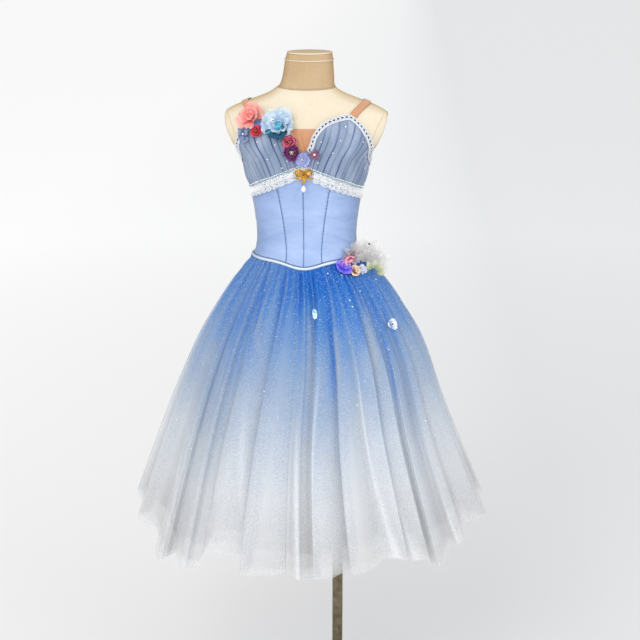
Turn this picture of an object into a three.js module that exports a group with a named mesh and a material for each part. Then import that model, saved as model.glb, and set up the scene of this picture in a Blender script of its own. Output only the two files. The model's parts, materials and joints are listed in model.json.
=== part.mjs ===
import * as THREE from 'three';

// A ballet dress on a limbless dress form. Millimetres, floor at z = 0, the front faces -Y.
// Angles run round the dress in degrees: 0 front, 90 the viewer's right, 180 back.

const dressX = -78; // axis of form and dress, beside the pole
const raised = 75; // how far the pole lifts the form above its lowest setting
const poleRadius = 13.5;
const baseRadius = 172;
const baseTop = 15;
const hubTop = 62;
const formBottom = 920;
const neckBase = 1520;
const neckTop = 1597;
const capTop = 1601;
const seam = 0.4; // gap between two pieces that are sewn or set together
const waistZ = 1116;
const basqueDrop = 14; // how far the bodice dips at the centre front
const pipingTall = 7;
const underBustSide = 1290;
const underBustRise = 66;
const laceTall = 25;
const trimWide = 11;
const strapWide = 16;
const hemZ = 475;
const pleatCount = 10;
const columnsPerPleat = 3;
const cupRows = 6;
const gathersShare = 0.1; // part of the skirt's drop in which it leaves the waist

// Offsets from the form's surface: where each wall of cloth begins and ends.
const insertWall = { from: 0.7, to: 1.6 };
const strapWall = { from: 1.0, to: 2.2 };
const bodiceWall = { from: 1.1, to: 2.6 };
const cupWall = { from: 3.1, to: 4.5 };
const trimWall = { from: 5.5, to: 6.9 };
const laceWall = { from: 5.2, to: 6.4 };
const pipingWall = { from: 1.6, to: 5.6 };
const placketWall = { from: 3.1, to: 4.4 };
const pleatRise = 2.2;
const flowerSeat = 7.4;
const leanSpan = 28; // height over which a hip flower turns from the bodice to the skirt

// Form: half width, depth to the front and back, and how far the arm plates cut a wider section.
const formRows = [
  { z: 920, side: 166, front: 104, back: 122, plate: 1 },
  { z: 960, side: 168, front: 107, back: 126, plate: 1 },
  { z: 1000, side: 165, front: 108, back: 124, plate: 1 },
  { z: 1060, side: 150, front: 103, back: 113, plate: 1 },
  { z: 1090, side: 140, front: 98, back: 104, plate: 1 },
  { z: 1116, side: 130, front: 92, back: 95, plate: 1 },
  { z: 1136, side: 120.5, front: 88, back: 88, plate: 1 },
  { z: 1167, side: 117, front: 86, back: 84, plate: 1 },
  { z: 1215, side: 120.5, front: 90, back: 88, plate: 1 },
  { z: 1260, side: 127, front: 96, back: 96, plate: 1 },
  { z: 1290, side: 130, front: 101, back: 101, plate: 1 },
  { z: 1311, side: 138, front: 104, back: 105, plate: 1 },
  { z: 1353, side: 148, front: 106, back: 110, plate: 1 },
  { z: 1371, side: 155, front: 106, back: 112, plate: 1.03 },
  { z: 1397, side: 169, front: 105, back: 113, plate: 1.11 },
  { z: 1430, side: 184, front: 99, back: 111, plate: 1.1 },
  { z: 1457, side: 190, front: 86, back: 104, plate: 1.02 },
  { z: 1467, side: 184, front: 81, back: 100, plate: 1 },
  { z: 1482, side: 154, front: 74, back: 92, plate: 1 },
  { z: 1500, side: 104, front: 67, back: 81, plate: 1 },
  { z: 1510, side: 82, front: 64, back: 74, plate: 1 },
  { z: 1520, side: 68, front: 62, back: 68, plate: 1 },
];
const bust = { angle: 32, z: 1358, rise: 18, wide: 24, tall: 52 };

// Upper edge of the dress on one side, from the centre front round to the centre back.
const topEdge = [
  { at: 0, z: 1381 },
  { at: 4.5, z: 1394 },
  { at: 6.8, z: 1420 },
  { at: 12.5, z: 1443 },
  { at: 21, z: 1456 },
  { at: 33, z: 1461 },
  { at: 39, z: 1446 },
  { at: 45, z: 1424 },
  { at: 53, z: 1398 },
  { at: 66, z: 1374 },
  { at: 90, z: 1350 },
  { at: 112, z: 1334 },
  { at: 140, z: 1316 },
  { at: 180, z: 1308 },
];

// Skirt outline by share of its drop: half width, depths, and how far its middle shifts sideways.
const skirtRows = [
  { t: 0, side: 136, front: 99, back: 102, shift: 0 },
  { t: 0.05, side: 165, front: 128, back: 131, shift: 0 },
  { t: 0.087, side: 188, front: 150, back: 154, shift: 0 },
  { t: 0.174, side: 224, front: 188, back: 192, shift: 2 },
  { t: 0.33, side: 273, front: 238, back: 242, shift: 6 },
  { t: 0.575, side: 327, front: 294, back: 298, shift: 3 },
  { t: 0.76, side: 370, front: 339, back: 343, shift: 4 },
  { t: 1, side: 426, front: 392, back: 396, shift: 8 },
];

// Skirt folds on the front half: where each crest lies, its depth at the hem, its hem's height.
const foldRows = [
  { at: -84, deep: 14, hem: 18 },
  { at: -70, deep: 17, hem: -4 },
  { at: -54, deep: 17, hem: -56 },
  { at: -41, deep: 14, hem: -40 },
  { at: -27, deep: 17, hem: 22 },
  { at: -11, deep: 18, hem: -16 },
  { at: 0, deep: 10, hem: -18 },
  { at: 9, deep: 13, hem: -14 },
  { at: 20.5, deep: 17, hem: -4 },
  { at: 33, deep: 14, hem: 6 },
  { at: 41.5, deep: 11, hem: -8 },
  { at: 50, deep: 14, hem: -42 },
  { at: 60, deep: 13, hem: -8 },
  { at: 73, deep: 16, hem: 16 },
  { at: 85, deep: 20, hem: -26 },
];
const columnsPerFold = 5;
const skirtLevels = 6;
const levelPower = 1.35; // crowds the levels towards the waist

// The skirt's layers: set in from the outline at the hem, share of the fold's depth, offset from
// the form at the waist and thickness.
const outerSkirt = { inward: 0, share: 1, seat: 3.4, thick: 2 };
const innerSkirt = { inward: 40, share: 0.55, seat: 1.1, thick: 1.7, hem: 12 };

// Flowers: middle, radius, rise off the cloth, and petals. Those at the hip lie off the skirt's
// mean outline by their own distance, enough to clear the folds under them.
const chestFlowers = [
  { name: 'flower_coral', at: -36.5, z: 1453, radius: 22, rise: 15, petals: 6 },
  { name: 'flower_blue_organza', at: -15.5, z: 1439, radius: 27, rise: 18, petals: 7 },
  { name: 'rose_red', at: -29.5, z: 1426, radius: 11.5, rise: 12, petals: 5 },
  { name: 'bow_grey_tulle', at: -39.5, z: 1419, radius: 11, rise: 7, petals: 4 },
  { name: 'rose_crimson', at: -8.6, z: 1406, radius: 13.5, rise: 12, petals: 6 },
  { name: 'flower_purple', at: -7.6, z: 1384, radius: 12, rise: 10, petals: 6 },
  { name: 'flower_lavender', at: 0.5, z: 1369, radius: 12.5, rise: 8, petals: 8 },
  { name: 'flower_mauve', at: 9.3, z: 1380, radius: 12, rise: 6, petals: 8 },
];
const hipFlowers = [
  { name: 'hip_flower_violet', at: 40.5, z: 1107, radius: 17, rise: 13, petals: 5, off: -0.2 },
  { name: 'hip_rose_cream', at: 51, z: 1096, radius: 9, rise: 11, petals: 5, off: -0.7 },
  { name: 'hip_petals_pink', at: 47.5, z: 1127, radius: 9, rise: 10, petals: 4, off: -1.9 },
  { name: 'hip_flower_greige', at: 59, z: 1133, radius: 14, rise: 16, petals: 6, off: -1.9 },
  { name: 'hip_puff_white', at: 84, z: 1136, radius: 26, rise: 46, petals: 7, off: -0.2 },
  { name: 'hip_flower_white', at: 64, z: 1096, radius: 9, rise: 9, petals: 5, off: 0.1 },
  { name: 'hip_leaves', at: 77, z: 1091, radius: 11, rise: 8, petals: 4, off: 1.5 },
];
const flowerColours = {
  flower_coral: 0xf28e8a,
  flower_blue_organza: 0xb4d6ee,
  rose_red: 0xc23a4c,
  bow_grey_tulle: 0x6f83ab,
  rose_crimson: 0xb83c62,
  flower_purple: 0x5c1f55,
  flower_lavender: 0x9d9fd6,
  flower_mauve: 0xa9809f,
  hip_flower_violet: 0x6c6ae0,
  hip_rose_cream: 0xf2cfa8,
  hip_petals_pink: 0xf09aa8,
  hip_flower_greige: 0xb7b1b2,
  hip_puff_white: 0xd9dedd,
  hip_flower_white: 0xe6e8f2,
  hip_leaves: 0xaebf93,
};

const group = new THREE.Group();
const radians = THREE.MathUtils.degToRad;

function material(colour, roughness, metalness = 0) {
  return new THREE.MeshStandardMaterial({ color: colour, roughness, metalness });
}

const linen = material(0xf5ead6, 0.9);
const neckLinen = material(0xcdb593, 0.9);
const satin = material(0xafc6ee, 0.45);
const greyTulle = material(0x8a9bc0, 0.8);
const nudeMesh = material(0xdba27a, 0.8);
const braid = material(0xe8edf2, 0.6);
const skirtTulle = material(0x9bb6e0, 0.85);
const underTulle = material(0xd5ddea, 0.9);
const gold = material(0xd9a441, 0.25, 1);
const amber = material(0xd98a1e, 0.1);
const garnet = material(0x7a1020, 0.1);
const pearl = material(0xf3efe9, 0.2);
const crystal = material(0xd7ecf2, 0.08);
const bronzePole = material(0x7c7362, 0.35, 1);

function smooth(share) {
  const s = THREE.MathUtils.clamp(share, 0, 1);
  return s * s * (3 - 2 * s);
}

// A row between two rows of a table, on a curve through its neighbours.
function rowAt(rows, key, at) {
  const last = rows.length - 1;
  const x = THREE.MathUtils.clamp(at, rows[0][key], rows[last][key]);
  let i = 0;
  while (i < last - 1 && x > rows[i + 1][key]) {
    i += 1;
  }
  const a = rows[i];
  const b = rows[i + 1];
  const before = rows[Math.max(i - 1, 0)];
  const after = rows[Math.min(i + 2, last)];
  const span = b[key] - a[key];
  const s = (x - a[key]) / span;
  const found = {};
  for (const name of Object.keys(a)) {
    const rise = (b[name] - a[name]) / span;
    const start = before === a ? rise : (b[name] - before[name]) / (b[key] - before[key]);
    const end = after === b ? rise : (after[name] - a[name]) / (after[key] - a[key]);
    found[name] =
      a[name] * (1 + 2 * s) * (1 - s) ** 2 +
      b[name] * (3 - 2 * s) * s ** 2 +
      (start * s * (1 - s) ** 2 - end * (1 - s) * s ** 2) * span;
  }
  return found;
}

function bustRise(angle, z) {
  const up = Math.exp(-(((z - bust.z) / bust.tall) ** 2));
  const right = Math.exp(-(((angle - bust.angle) / bust.wide) ** 2));
  const left = Math.exp(-(((angle + bust.angle) / bust.wide) ** 2));
  return bust.rise * up * (right + left);
}

function wrapped(angle) {
  return angle > 180 ? angle - 360 : angle;
}

function formPoint(angle, z) {
  const row = rowAt(formRows, 'z', z);
  const s = Math.sin(radians(angle));
  const c = Math.cos(radians(angle));
  const wide = row.side * row.plate * s;
  const out = bustRise(wrapped(angle), z);
  const x = THREE.MathUtils.clamp(wide, -row.side, row.side) + out * s;
  const y = -(c > 0 ? row.front : row.back) * c - out * c;
  return new THREE.Vector3(x, y, z);
}

// A point of the form moved straight out of its surface by the given distance.
function clothPoint(angle, z, out) {
  const step = 0.5;
  const around = formPoint(angle + step, z).sub(formPoint(angle - step, z));
  const upwards = formPoint(angle, z + step).sub(formPoint(angle, z - step));
  const normal = around.cross(upwards).normalize();
  return formPoint(angle, z).addScaledVector(normal, out);
}

// Millimetres along the cloth for one degree round the dress.
function perDegree(angle, z) {
  return formPoint(angle + 0.5, z).distanceTo(formPoint(angle - 0.5, z));
}

function waistLine(angle) {
  return waistZ - basqueDrop * Math.exp(-((wrapped(angle) / 20) ** 2));
}

function underBust(angle) {
  return underBustSide + underBustRise * (1 - Math.abs(Math.sin(radians(angle)))) ** 0.9;
}

function bodiceTop(angle) {
  const turn = Math.abs(wrapped(angle));
  return turn < 90 ? underBust(angle) - 8 : rowAt(topEdge, 'at', turn).z;
}

function dressTop(angle) {
  return rowAt(topEdge, 'at', Math.abs(wrapped(angle))).z;
}

function mesh(name, positions, faces, finish) {
  const corner = (k) => new THREE.Vector3().fromArray(positions, 3 * k);
  let volume = 0;
  for (const [a, b, c] of faces) {
    volume += corner(a).dot(corner(b).cross(corner(c)));
  }
  const index = faces.map(([a, b, c]) => (volume > 0 ? [a, b, c] : [a, c, b])).flat();
  const shape = new THREE.BufferGeometry();
  shape.setAttribute('position', new THREE.Float32BufferAttribute(positions, 3));
  shape.setIndex(index);
  shape.computeVertexNormals();
  const piece = new THREE.Mesh(shape, finish);
  piece.name = name;
  group.add(piece);
  return piece;
}

// A wall of cloth: a grid of points at two offsets, joined along its edges.
// pointAt(u, v, side) gives the inner face for side 0 and the outer face for side 1.
function wall(name, columns, rows, pointAt, finish, closed = false) {
  const positions = [];
  const faces = [];
  const across = closed ? columns : columns + 1;
  const id = (side, i, j) => side * across * (rows + 1) + (i % across) * (rows + 1) + j;
  for (const side of [0, 1]) {
    for (let i = 0; i < across; i += 1) {
      for (let j = 0; j <= rows; j += 1) {
        const p = pointAt(i / columns, j / rows, side);
        positions.push(p.x + dressX, p.y, p.z + raised);
      }
    }
  }
  const quad = (a, b, c, d) => faces.push([a, b, c], [a, c, d]);
  for (let i = 0; i < columns; i += 1) {
    for (let j = 0; j < rows; j += 1) {
      quad(id(1, i, j), id(1, i + 1, j), id(1, i + 1, j + 1), id(1, i, j + 1));
      quad(id(0, i, j), id(0, i, j + 1), id(0, i + 1, j + 1), id(0, i + 1, j));
    }
    quad(id(0, i, 0), id(0, i + 1, 0), id(1, i + 1, 0), id(1, i, 0));
    quad(id(0, i, rows), id(1, i, rows), id(1, i + 1, rows), id(0, i + 1, rows));
  }
  for (let j = 0; j < rows && !closed; j += 1) {
    quad(id(0, 0, j), id(1, 0, j), id(1, 0, j + 1), id(0, 0, j + 1));
    quad(id(0, columns, j), id(0, columns, j + 1), id(1, columns, j + 1), id(1, columns, j));
  }
  return mesh(name, positions, faces, finish);
}

// A solid of rings closed by flat ends.
function stack(name, columns, rings, pointAt, finish) {
  const positions = [];
  const faces = [];
  rings.forEach((ring) => {
    for (let i = 0; i < columns; i += 1) {
      const p = pointAt((360 * i) / columns, ring);
      positions.push(p.x + dressX, p.y, p.z + raised);
    }
  });
  for (let j = 0; j < rings.length - 1; j += 1) {
    for (let i = 0; i < columns; i += 1) {
      const a = j * columns + i;
      const b = j * columns + ((i + 1) % columns);
      faces.push([a, b, b + columns], [a, b + columns, a + columns]);
    }
  }
  const last = (rings.length - 1) * columns;
  for (let i = 1; i < columns - 1; i += 1) {
    faces.push([0, i + 1, i], [last, last + i, last + i + 1]);
  }
  return mesh(name, positions, faces, finish);
}

function makeStand() {
  const profile = [
    [0, 0],
    [baseRadius - 3, 0],
    [baseRadius, 3],
    [baseRadius, 9],
    [baseRadius - 5, baseTop],
    [46, baseTop + 7],
    [24, baseTop + 12],
    [22, hubTop],
    [poleRadius + seam, hubTop],
    [poleRadius + seam, baseTop + 4],
    [0, baseTop + 4],
  ].map(([r, z]) => new THREE.Vector2(r, z));
  const base = new THREE.Mesh(new THREE.LatheGeometry(profile, 28), bronzePole);
  base.name = 'stand_base';
  base.rotation.x = Math.PI / 2;
  const poleBottom = baseTop + 4 + seam;
  const poleTall = formBottom + raised - seam - poleBottom;
  const pole = new THREE.Mesh(
    new THREE.CylinderGeometry(poleRadius, poleRadius, poleTall, 20),
    bronzePole,
  );
  pole.name = 'stand_pole';
  pole.rotation.x = Math.PI / 2;
  pole.position.z = poleBottom + poleTall / 2;
  group.add(base, pole);
}

function makeForm() {
  const levels = [
    920, 960, 1010, 1060, 1090, 1107, 1121, 1136, 1155, 1185, 1220, 1255, 1283, 1302, 1320, 1338,
    1356, 1374, 1393, 1412, 1432, 1449, 1461, 1472, 1487, 1504, 1520,
  ];
  stack('form_torso', 32, levels, formPoint, linen);
  const neckRings = [
    { z: neckBase + seam, side: 66, shift: 1 },
    { z: 1530, side: 62.5, shift: 3 },
    { z: 1545, side: 60, shift: 5 },
    { z: 1565, side: 57.5, shift: 6 },
    { z: 1583, side: 55.5, shift: 7 },
    { z: neckTop, side: 52.5, shift: 8 },
  ];
  const neckPoint = (angle, ring) =>
    new THREE.Vector3(
      ring.side * Math.sin(radians(angle)) + ring.shift,
      -0.97 * ring.side * Math.cos(radians(angle)),
      ring.z,
    );
  stack('form_neck', 24, neckRings, neckPoint, neckLinen);
  const capRings = [
    { z: neckTop + seam, side: 52.5, shift: 8 },
    { z: capTop - 1, side: 51.5, shift: 8 },
    { z: capTop, side: 47, shift: 8 },
  ];
  stack('form_cap', 24, capRings, neckPoint, linen);
}

function princess(z) {
  return THREE.MathUtils.mapLinear(z, 1112, 1298, 19, 27.7);
}

function makeBodice() {
  const gap = 0.12; // degrees left at each seam
  const panel = (name, columns, from, to) => {
    const pointAt = (u, v, side) => {
      const guess = THREE.MathUtils.lerp(waistZ, 1300, v);
      const angle = THREE.MathUtils.lerp(from(guess), to(guess), u);
      const low = waistLine(angle) + pipingTall + 1;
      const z = THREE.MathUtils.lerp(low, bodiceTop(angle) - seam, v);
      return clothPoint(angle, z, side ? bodiceWall.to : bodiceWall.from);
    };
    wall(name, columns, 7, pointAt, satin);
  };
  for (const [end, sign] of [['left', -1], ['right', 1]]) {
    panel(`bodice_front_${end}`, 4, () => sign * gap, (z) => sign * (princess(z) - gap));
    panel(`bodice_side_front_${end}`, 8, (z) => sign * (princess(z) + gap), () => sign * (90 - gap));
    panel(`bodice_side_back_${end}`, 7, () => sign * (90 + gap), () => sign * (148 - gap));
    panel(`bodice_back_${end}`, 4, () => sign * (148 + gap), () => sign * (180 - gap));
  }
  const placket = (u, v, side) => {
    const angle = 180 + THREE.MathUtils.lerp(-5, 5, u);
    const z = THREE.MathUtils.lerp(waistZ + pipingTall + seam, 1308 - trimWide - 2, v);
    return clothPoint(angle, z, side ? placketWall.to : placketWall.from);
  };
  wall('back_placket', 2, 7, placket, satin);
}

// How far a place on the cup lies from the dress's upper edge.
function edgeDistance(angle, z) {
  const scale = 2.4; // millimetres for a degree at the bust
  let least = Infinity;
  for (let at = 3; at <= 96; at += 1.5) {
    least = Math.min(least, Math.hypot((at - angle) * scale, dressTop(at) - z));
  }
  return least;
}

// Pleats are steep on one side and lean the other way, and die out where they are sewn in.
function pleat(u, angle, z) {
  const turn = (u * pleatCount) % 1;
  const shape = turn < 1 / 3 ? turn * 3 : (1 - turn) * 1.5;
  const fromSeam = z - underBust(angle) + 8;
  return pleatRise * shape * smooth((fromSeam - 9) / 16) * smooth((edgeDistance(angle, z) - 10) / 12);
}

function makeCups() {
  for (const [end, sign] of [['left', -1], ['right', 1]]) {
    const pointAt = (u, v, side) => {
      const low = THREE.MathUtils.lerp(0.3, 89.8, u ** 1.2);
      const high = THREE.MathUtils.lerp(0.3, 89.8, u ** 0.9);
      const angle = THREE.MathUtils.lerp(low, high, v);
      const start = underBust(angle) - 8 + seam;
      const top = dressTop(angle);
      const step = Math.round(v * cupRows);
      const inner = THREE.MathUtils.lerp(start + 11, top - 13, (step - 1) / (cupRows - 2));
      const z = step === 0 ? start : step === cupRows ? top : inner;
      const out = side ? cupWall.to + pleat(u, angle, z) : cupWall.from;
      return clothPoint(sign * angle, z, out);
    };
    wall(`cup_${end}`, pleatCount * columnsPerPleat, cupRows, pointAt, greyTulle);
  }
  const insert = (u, v, side) => {
    const angle = THREE.MathUtils.lerp(-12, 12, u);
    const z = THREE.MathUtils.lerp(1374 + 2.6 * Math.abs(angle), 1435, v);
    return clothPoint(angle, z, side ? insertWall.to : insertWall.from);
  };
  wall('neck_insert', 8, 3, insert, nudeMesh);
}

// Distance along the top edge turned into a place on the cloth, set in from the edge.
function insideEdge(at, inset) {
  const step = 0.6;
  const scale = perDegree(at, dressTop(at));
  const run = 2 * step * scale;
  const rise = dressTop(at + step) - dressTop(at - step);
  const size = Math.hypot(run, rise);
  return { angle: at + (inset * rise) / size / scale, z: dressTop(at) - (inset * run) / size };
}

function makeTrims() {
  const stops = [
    3.4, 4.6, 5.6, 6.8, 9, 12.5, 16.5, 21, 26, 30, 33.5, 37, 41, 45, 49, 52, 55, 58, 61, 64, 67, 71,
    76, 82, 90, 100, 112, 124, 136, 148, 160, 170, 179,
  ];
  for (const [end, sign] of [['left', -1], ['right', 1]]) {
    const pointAt = (u, v, side) => {
      const at = stops[Math.round(u * (stops.length - 1))];
      const place = insideEdge(at, trimWide * (1 - v) - 1.5);
      return clothPoint(sign * place.angle, place.z, side ? trimWall.to : trimWall.from);
    };
    wall(`trim_${end}`, stops.length - 1, 1, pointAt, braid);
  }
  const scallops = 24;
  const lace = (u, v, side) => {
    const angle = THREE.MathUtils.lerp(-92, 92, u);
    const dip = Math.abs(Math.sin(Math.PI * scallops * u));
    const low = underBust(angle) + 2 - laceTall - 4 * dip;
    const z = THREE.MathUtils.lerp(low, underBust(angle) + 2, v);
    return clothPoint(angle, z, side ? laceWall.to : laceWall.from);
  };
  wall('lace_band', scallops * 2, 1, lace, braid);
  const piping = (u, v, side) => {
    const angle = 360 * u;
    const z = waistLine(angle) + pipingTall * v;
    return clothPoint(angle, z, side ? pipingWall.to - (v - 0.5) ** 2 * 6 : pipingWall.from);
  };
  wall('waist_piping', 40, 2, piping, satin, true);
}

// The nearest point of the form to a point near it.
function seated(point) {
  const q = point.clone();
  const level = (p) => {
    const row = rowAt(formRows, 'z', p.z);
    const wide = p.x / (row.side * row.plate);
    const deep = p.y / (p.y < 0 ? row.front : row.back);
    const reach = Math.hypot(wide, deep);
    const angle = THREE.MathUtils.radToDeg(Math.atan2(wide, -deep));
    return reach - 1 - (bustRise(angle, p.z) * reach) / Math.hypot(p.x, p.y);
  };
  const slope = new THREE.Vector3();
  for (let i = 0; i < 12; i += 1) {
    const here = level(q);
    const by = (axis) => (level(q.clone().add(axis)) - here) / axis.length();
    slope.set(
      by(new THREE.Vector3(0.1, 0, 0)),
      by(new THREE.Vector3(0, 0.1, 0)),
      by(new THREE.Vector3(0, 0, 0.1)),
    );
    q.addScaledVector(slope, -here / slope.lengthSq());
  }
  return { point: q, normal: slope.normalize() };
}

// Elastic straps: from behind the cup's peak over the shoulder to the back edge.
function makeStraps() {
  const route = new THREE.CatmullRomCurve3([
    new THREE.Vector3(101, -88, 1447),
    new THREE.Vector3(116, -66, 1466),
    new THREE.Vector3(137, -32, 1484),
    new THREE.Vector3(143, 2, 1488),
    new THREE.Vector3(137, 46, 1478),
    new THREE.Vector3(125, 76, 1456),
    new THREE.Vector3(112, 94, 1410),
    new THREE.Vector3(104, 98, 1360),
    new THREE.Vector3(99, 86, 1320),
  ]);
  for (const [end, sign] of [['left', -1], ['right', 1]]) {
    const pointAt = (u, v, side) => {
      const middle = seated(route.getPoint(u));
      const ahead = route.getTangent(u);
      const across = ahead.cross(middle.normal).normalize();
      const edge = seated(middle.point.addScaledVector(across, (v - 0.5) * strapWide));
      const p = edge.point.addScaledVector(edge.normal, side ? strapWall.to : strapWall.from);
      return new THREE.Vector3(sign * p.x, p.y, p.z);
    };
    wall(`strap_${end}`, 22, 1, pointAt, nudeMesh);
  }
}

const folds = [...foldRows, ...foldRows.map((row) => ({ ...row, at: 180 + row.at }))];

// Where the fold number, such as 3.4, lies: its angle, depth, hem and place in the wave.
function foldAt(number) {
  const i = Math.floor(number) % folds.length;
  const next = (i + 1) % folds.length;
  const s = number - Math.floor(number);
  const to = next === 0 ? folds[0].at + 360 : folds[next].at;
  return {
    angle: THREE.MathUtils.lerp(folds[i].at, to, s),
    deep: THREE.MathUtils.lerp(folds[i].deep, folds[next].deep, s),
    hem: THREE.MathUtils.lerp(folds[i].hem, folds[next].hem, smooth((s - 0.3) / 0.4)),
    wave: Math.cos(2 * Math.PI * s),
  };
}

function skirtPoint(layer, fold, t, out) {
  const row = rowAt(skirtRows, 't', t);
  const s = Math.sin(radians(fold.angle));
  const c = Math.cos(radians(fold.angle));
  const top = waistLine(fold.angle) - seam;
  const z = THREE.MathUtils.lerp(top, hemZ + fold.hem, t);
  const swell = fold.deep * layer.share * fold.wave * t ** 0.7;
  const reach = swell - layer.inward * t ** 0.5 + out;
  const x = (row.side + reach) * s + row.shift;
  const y = -((c > 0 ? row.front : row.back) + reach) * c;
  const atWaist = clothPoint(fold.angle, top, layer.seat + out);
  const leave = smooth(t / gathersShare);
  return new THREE.Vector3(x, y, z).lerp(new THREE.Vector3(atWaist.x, atWaist.y, z), 1 - leave);
}

function dropShare(v) {
  return v ** levelPower;
}

function makeSkirt() {
  const half = folds.length / 2;
  const sideGap = 0.006; // share of a fold left open at each side seam
  for (const [end, start] of [['front', 0], ['back', half]]) {
    const numberAt = (u) => start + THREE.MathUtils.lerp(sideGap, half - sideGap, u);
    const outer = (u, v, side) => {
      return skirtPoint(outerSkirt, foldAt(numberAt(u)), dropShare(v), side ? outerSkirt.thick : 0);
    };
    const inner = (u, v, side) => {
      const fold = foldAt(numberAt(u));
      fold.wave = Math.cos(Math.PI * numberAt(u));
      fold.hem = innerSkirt.hem;
      return skirtPoint(innerSkirt, fold, dropShare(v), side ? innerSkirt.thick : 0);
    };
    wall(`skirt_outer_${end}`, half * columnsPerFold, skirtLevels, outer, skirtTulle);
    wall(`skirt_inner_${end}`, half * 2, 5, inner, underTulle);
  }
}

// A place on the outer skirt's own flat faces, between the corners of its grid.
function onSkirtFace(number, t) {
  const level = t ** (1 / levelPower) * skirtLevels;
  const column = number * columnsPerFold;
  const corner = (i, j) => {
    const fold = foldAt(i / columnsPerFold);
    return skirtPoint(outerSkirt, fold, dropShare(j / skirtLevels), outerSkirt.thick);
  };
  const i = Math.floor(column);
  const j = Math.floor(level);
  const above = corner(i, j).lerp(corner(i + 1, j), column - i);
  const below = corner(i, j + 1).lerp(corner(i + 1, j + 1), column - i);
  return above.lerp(below, level - j);
}

// The outside of the dress near the hip, over bodice and skirt alike.
function hipPoint(angle, z, out, off) {
  const onBodice = clothPoint(angle, Math.max(z, waistZ - basqueDrop), placketWall.to + out);
  const top = waistLine(angle) - seam;
  const t = Math.max((top - z) / (top - hemZ), 0);
  const row = rowAt(skirtRows, 't', t);
  const lean = smooth((waistZ + leanSpan / 2 - z) / leanSpan);
  const reach = off + 16 * t ** 0.7 + out * (1 - 0.35 * lean);
  const s = Math.sin(radians(angle));
  const onSkirt = new THREE.Vector3(
    (row.side + reach) * s,
    -(row.front + reach) * Math.cos(radians(angle)),
    z + out * 0.7 * lean,
  );
  const onBodiceReach = Math.hypot(onBodice.x, onBodice.y);
  return Math.hypot(onSkirt.x, onSkirt.y) > onBodiceReach ? onSkirt : onBodice;
}

// A flower: a lobed disc that follows the cloth below, cupped towards its middle.
function makeFlower(flower, pointAt) {
  const columns = flower.petals * 2;
  const rings = [
    { reach: 0.55, up: 0 },
    { reach: 0.93, up: 0 },
    { reach: 1, up: 0.55 },
    { reach: 0.62, up: 1 },
    { reach: 0.26, up: 0.72 },
  ];
  const scale = perDegree(flower.at, flower.z);
  const positions = [];
  const faces = [];
  const put = (across, along, up) => {
    const p = pointAt(flower.at + across / scale, flower.z + along, up);
    positions.push(p.x + dressX, p.y, p.z + raised);
  };
  put(0, 0, 0);
  rings.forEach((ring) => {
    for (let i = 0; i < columns; i += 1) {
      const turn = (2 * Math.PI * i) / columns;
      const lobe = i % 2 ? 0.84 : 1;
      const r = flower.radius * ring.reach * lobe;
      put(r * Math.cos(turn), r * Math.sin(turn), flower.rise * ring.up);
    }
  });
  put(0, 0, flower.rise * 0.8);
  const id = (ring, i) => 1 + ring * columns + (i % columns);
  const end = 1 + rings.length * columns;
  for (let i = 0; i < columns; i += 1) {
    faces.push([0, id(0, i + 1), id(0, i)]);
    for (let k = 0; k < rings.length - 1; k += 1) {
      faces.push([id(k, i), id(k, i + 1), id(k + 1, i + 1)], [id(k, i), id(k + 1, i + 1), id(k + 1, i)]);
    }
    faces.push([end, id(rings.length - 1, i), id(rings.length - 1, i + 1)]);
  }
  mesh(flower.name, positions, faces, material(flowerColours[flower.name], 0.75));
}

function makeOrnaments() {
  const onSkirt = (name, number, t, wide, tall, thick, finish, lift = 0) => {
    const pointAt = (u, v, side) => {
      const centre = onSkirtFace(number, t);
      const around = onSkirtFace(number + 0.05, t).sub(centre).normalize();
      const down = onSkirtFace(number, t + 0.02).sub(centre).normalize();
      const out = down.clone().cross(around).normalize();
      const turn = 2 * Math.PI * u;
      const p = centre.addScaledVector(around, wide * v * Math.cos(turn));
      p.addScaledVector(down, tall * v * Math.sin(turn));
      return p.addScaledVector(out, seam + lift + (side ? thick * (1.15 - 0.55 * v) : 0));
    };
    const positions = [];
    const faces = [];
    const columns = 10;
    for (const side of [0, 1]) {
      for (const v of [0, 1]) {
        for (let i = 0; i < (v ? columns : 1); i += 1) {
          const p = pointAt(i / columns, v, side);
          positions.push(p.x + dressX, p.y, p.z + raised);
        }
      }
    }
    for (let i = 0; i < columns; i += 1) {
      const next = (i + 1) % columns;
      const low = 1 + i;
      const lowNext = 1 + next;
      faces.push([0, lowNext, low], [columns + 1, columns + 1 + low, columns + 1 + lowNext]);
      faces.push([low, lowNext, columns + 1 + lowNext], [low, columns + 1 + lowNext, columns + 1 + low]);
    }
    mesh(name, positions, faces, finish);
  };
  onSkirt('skirt_crystal', 6.95, 0.13, 6, 13, 4, crystal);
  onSkirt('skirt_sequin_flower', 11.95, 0.215, 13, 13, 2.5, pearl, 0.4);
}

// Gilt bow brooch on the lace, with a pearl drop that swings on its pin.
const bow = { x: 3, z: 1337, thick: 3, gemThick: 3.5 };
const pin = { z: 1316.5, radius: 0.8, long: 2.2, headRadius: 1.7, headThick: 0.8 };
const drop = { ringRadius: 2.3, stem: 5.4, thick: 1.6, pearlRadius: 6.4, pearlTall: 17 };

// A flat outline in the X-Z plane, thickened towards the front from the given depth.
function flat(name, shape, thick, depth, z, finish) {
  const geometry = new THREE.ExtrudeGeometry(shape, {
    depth: thick,
    bevelEnabled: false,
    curveSegments: 6,
  });
  geometry.rotateX(Math.PI / 2);
  geometry.translate(dressX + bow.x, depth, z + raised);
  const piece = new THREE.Mesh(geometry, finish);
  piece.name = name;
  group.add(piece);
}

function oval(x, z, wide, tall) {
  const shape = new THREE.Shape();
  shape.absellipse(x, z, wide, tall, 0, 2 * Math.PI, false, 0);
  return shape;
}

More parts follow.
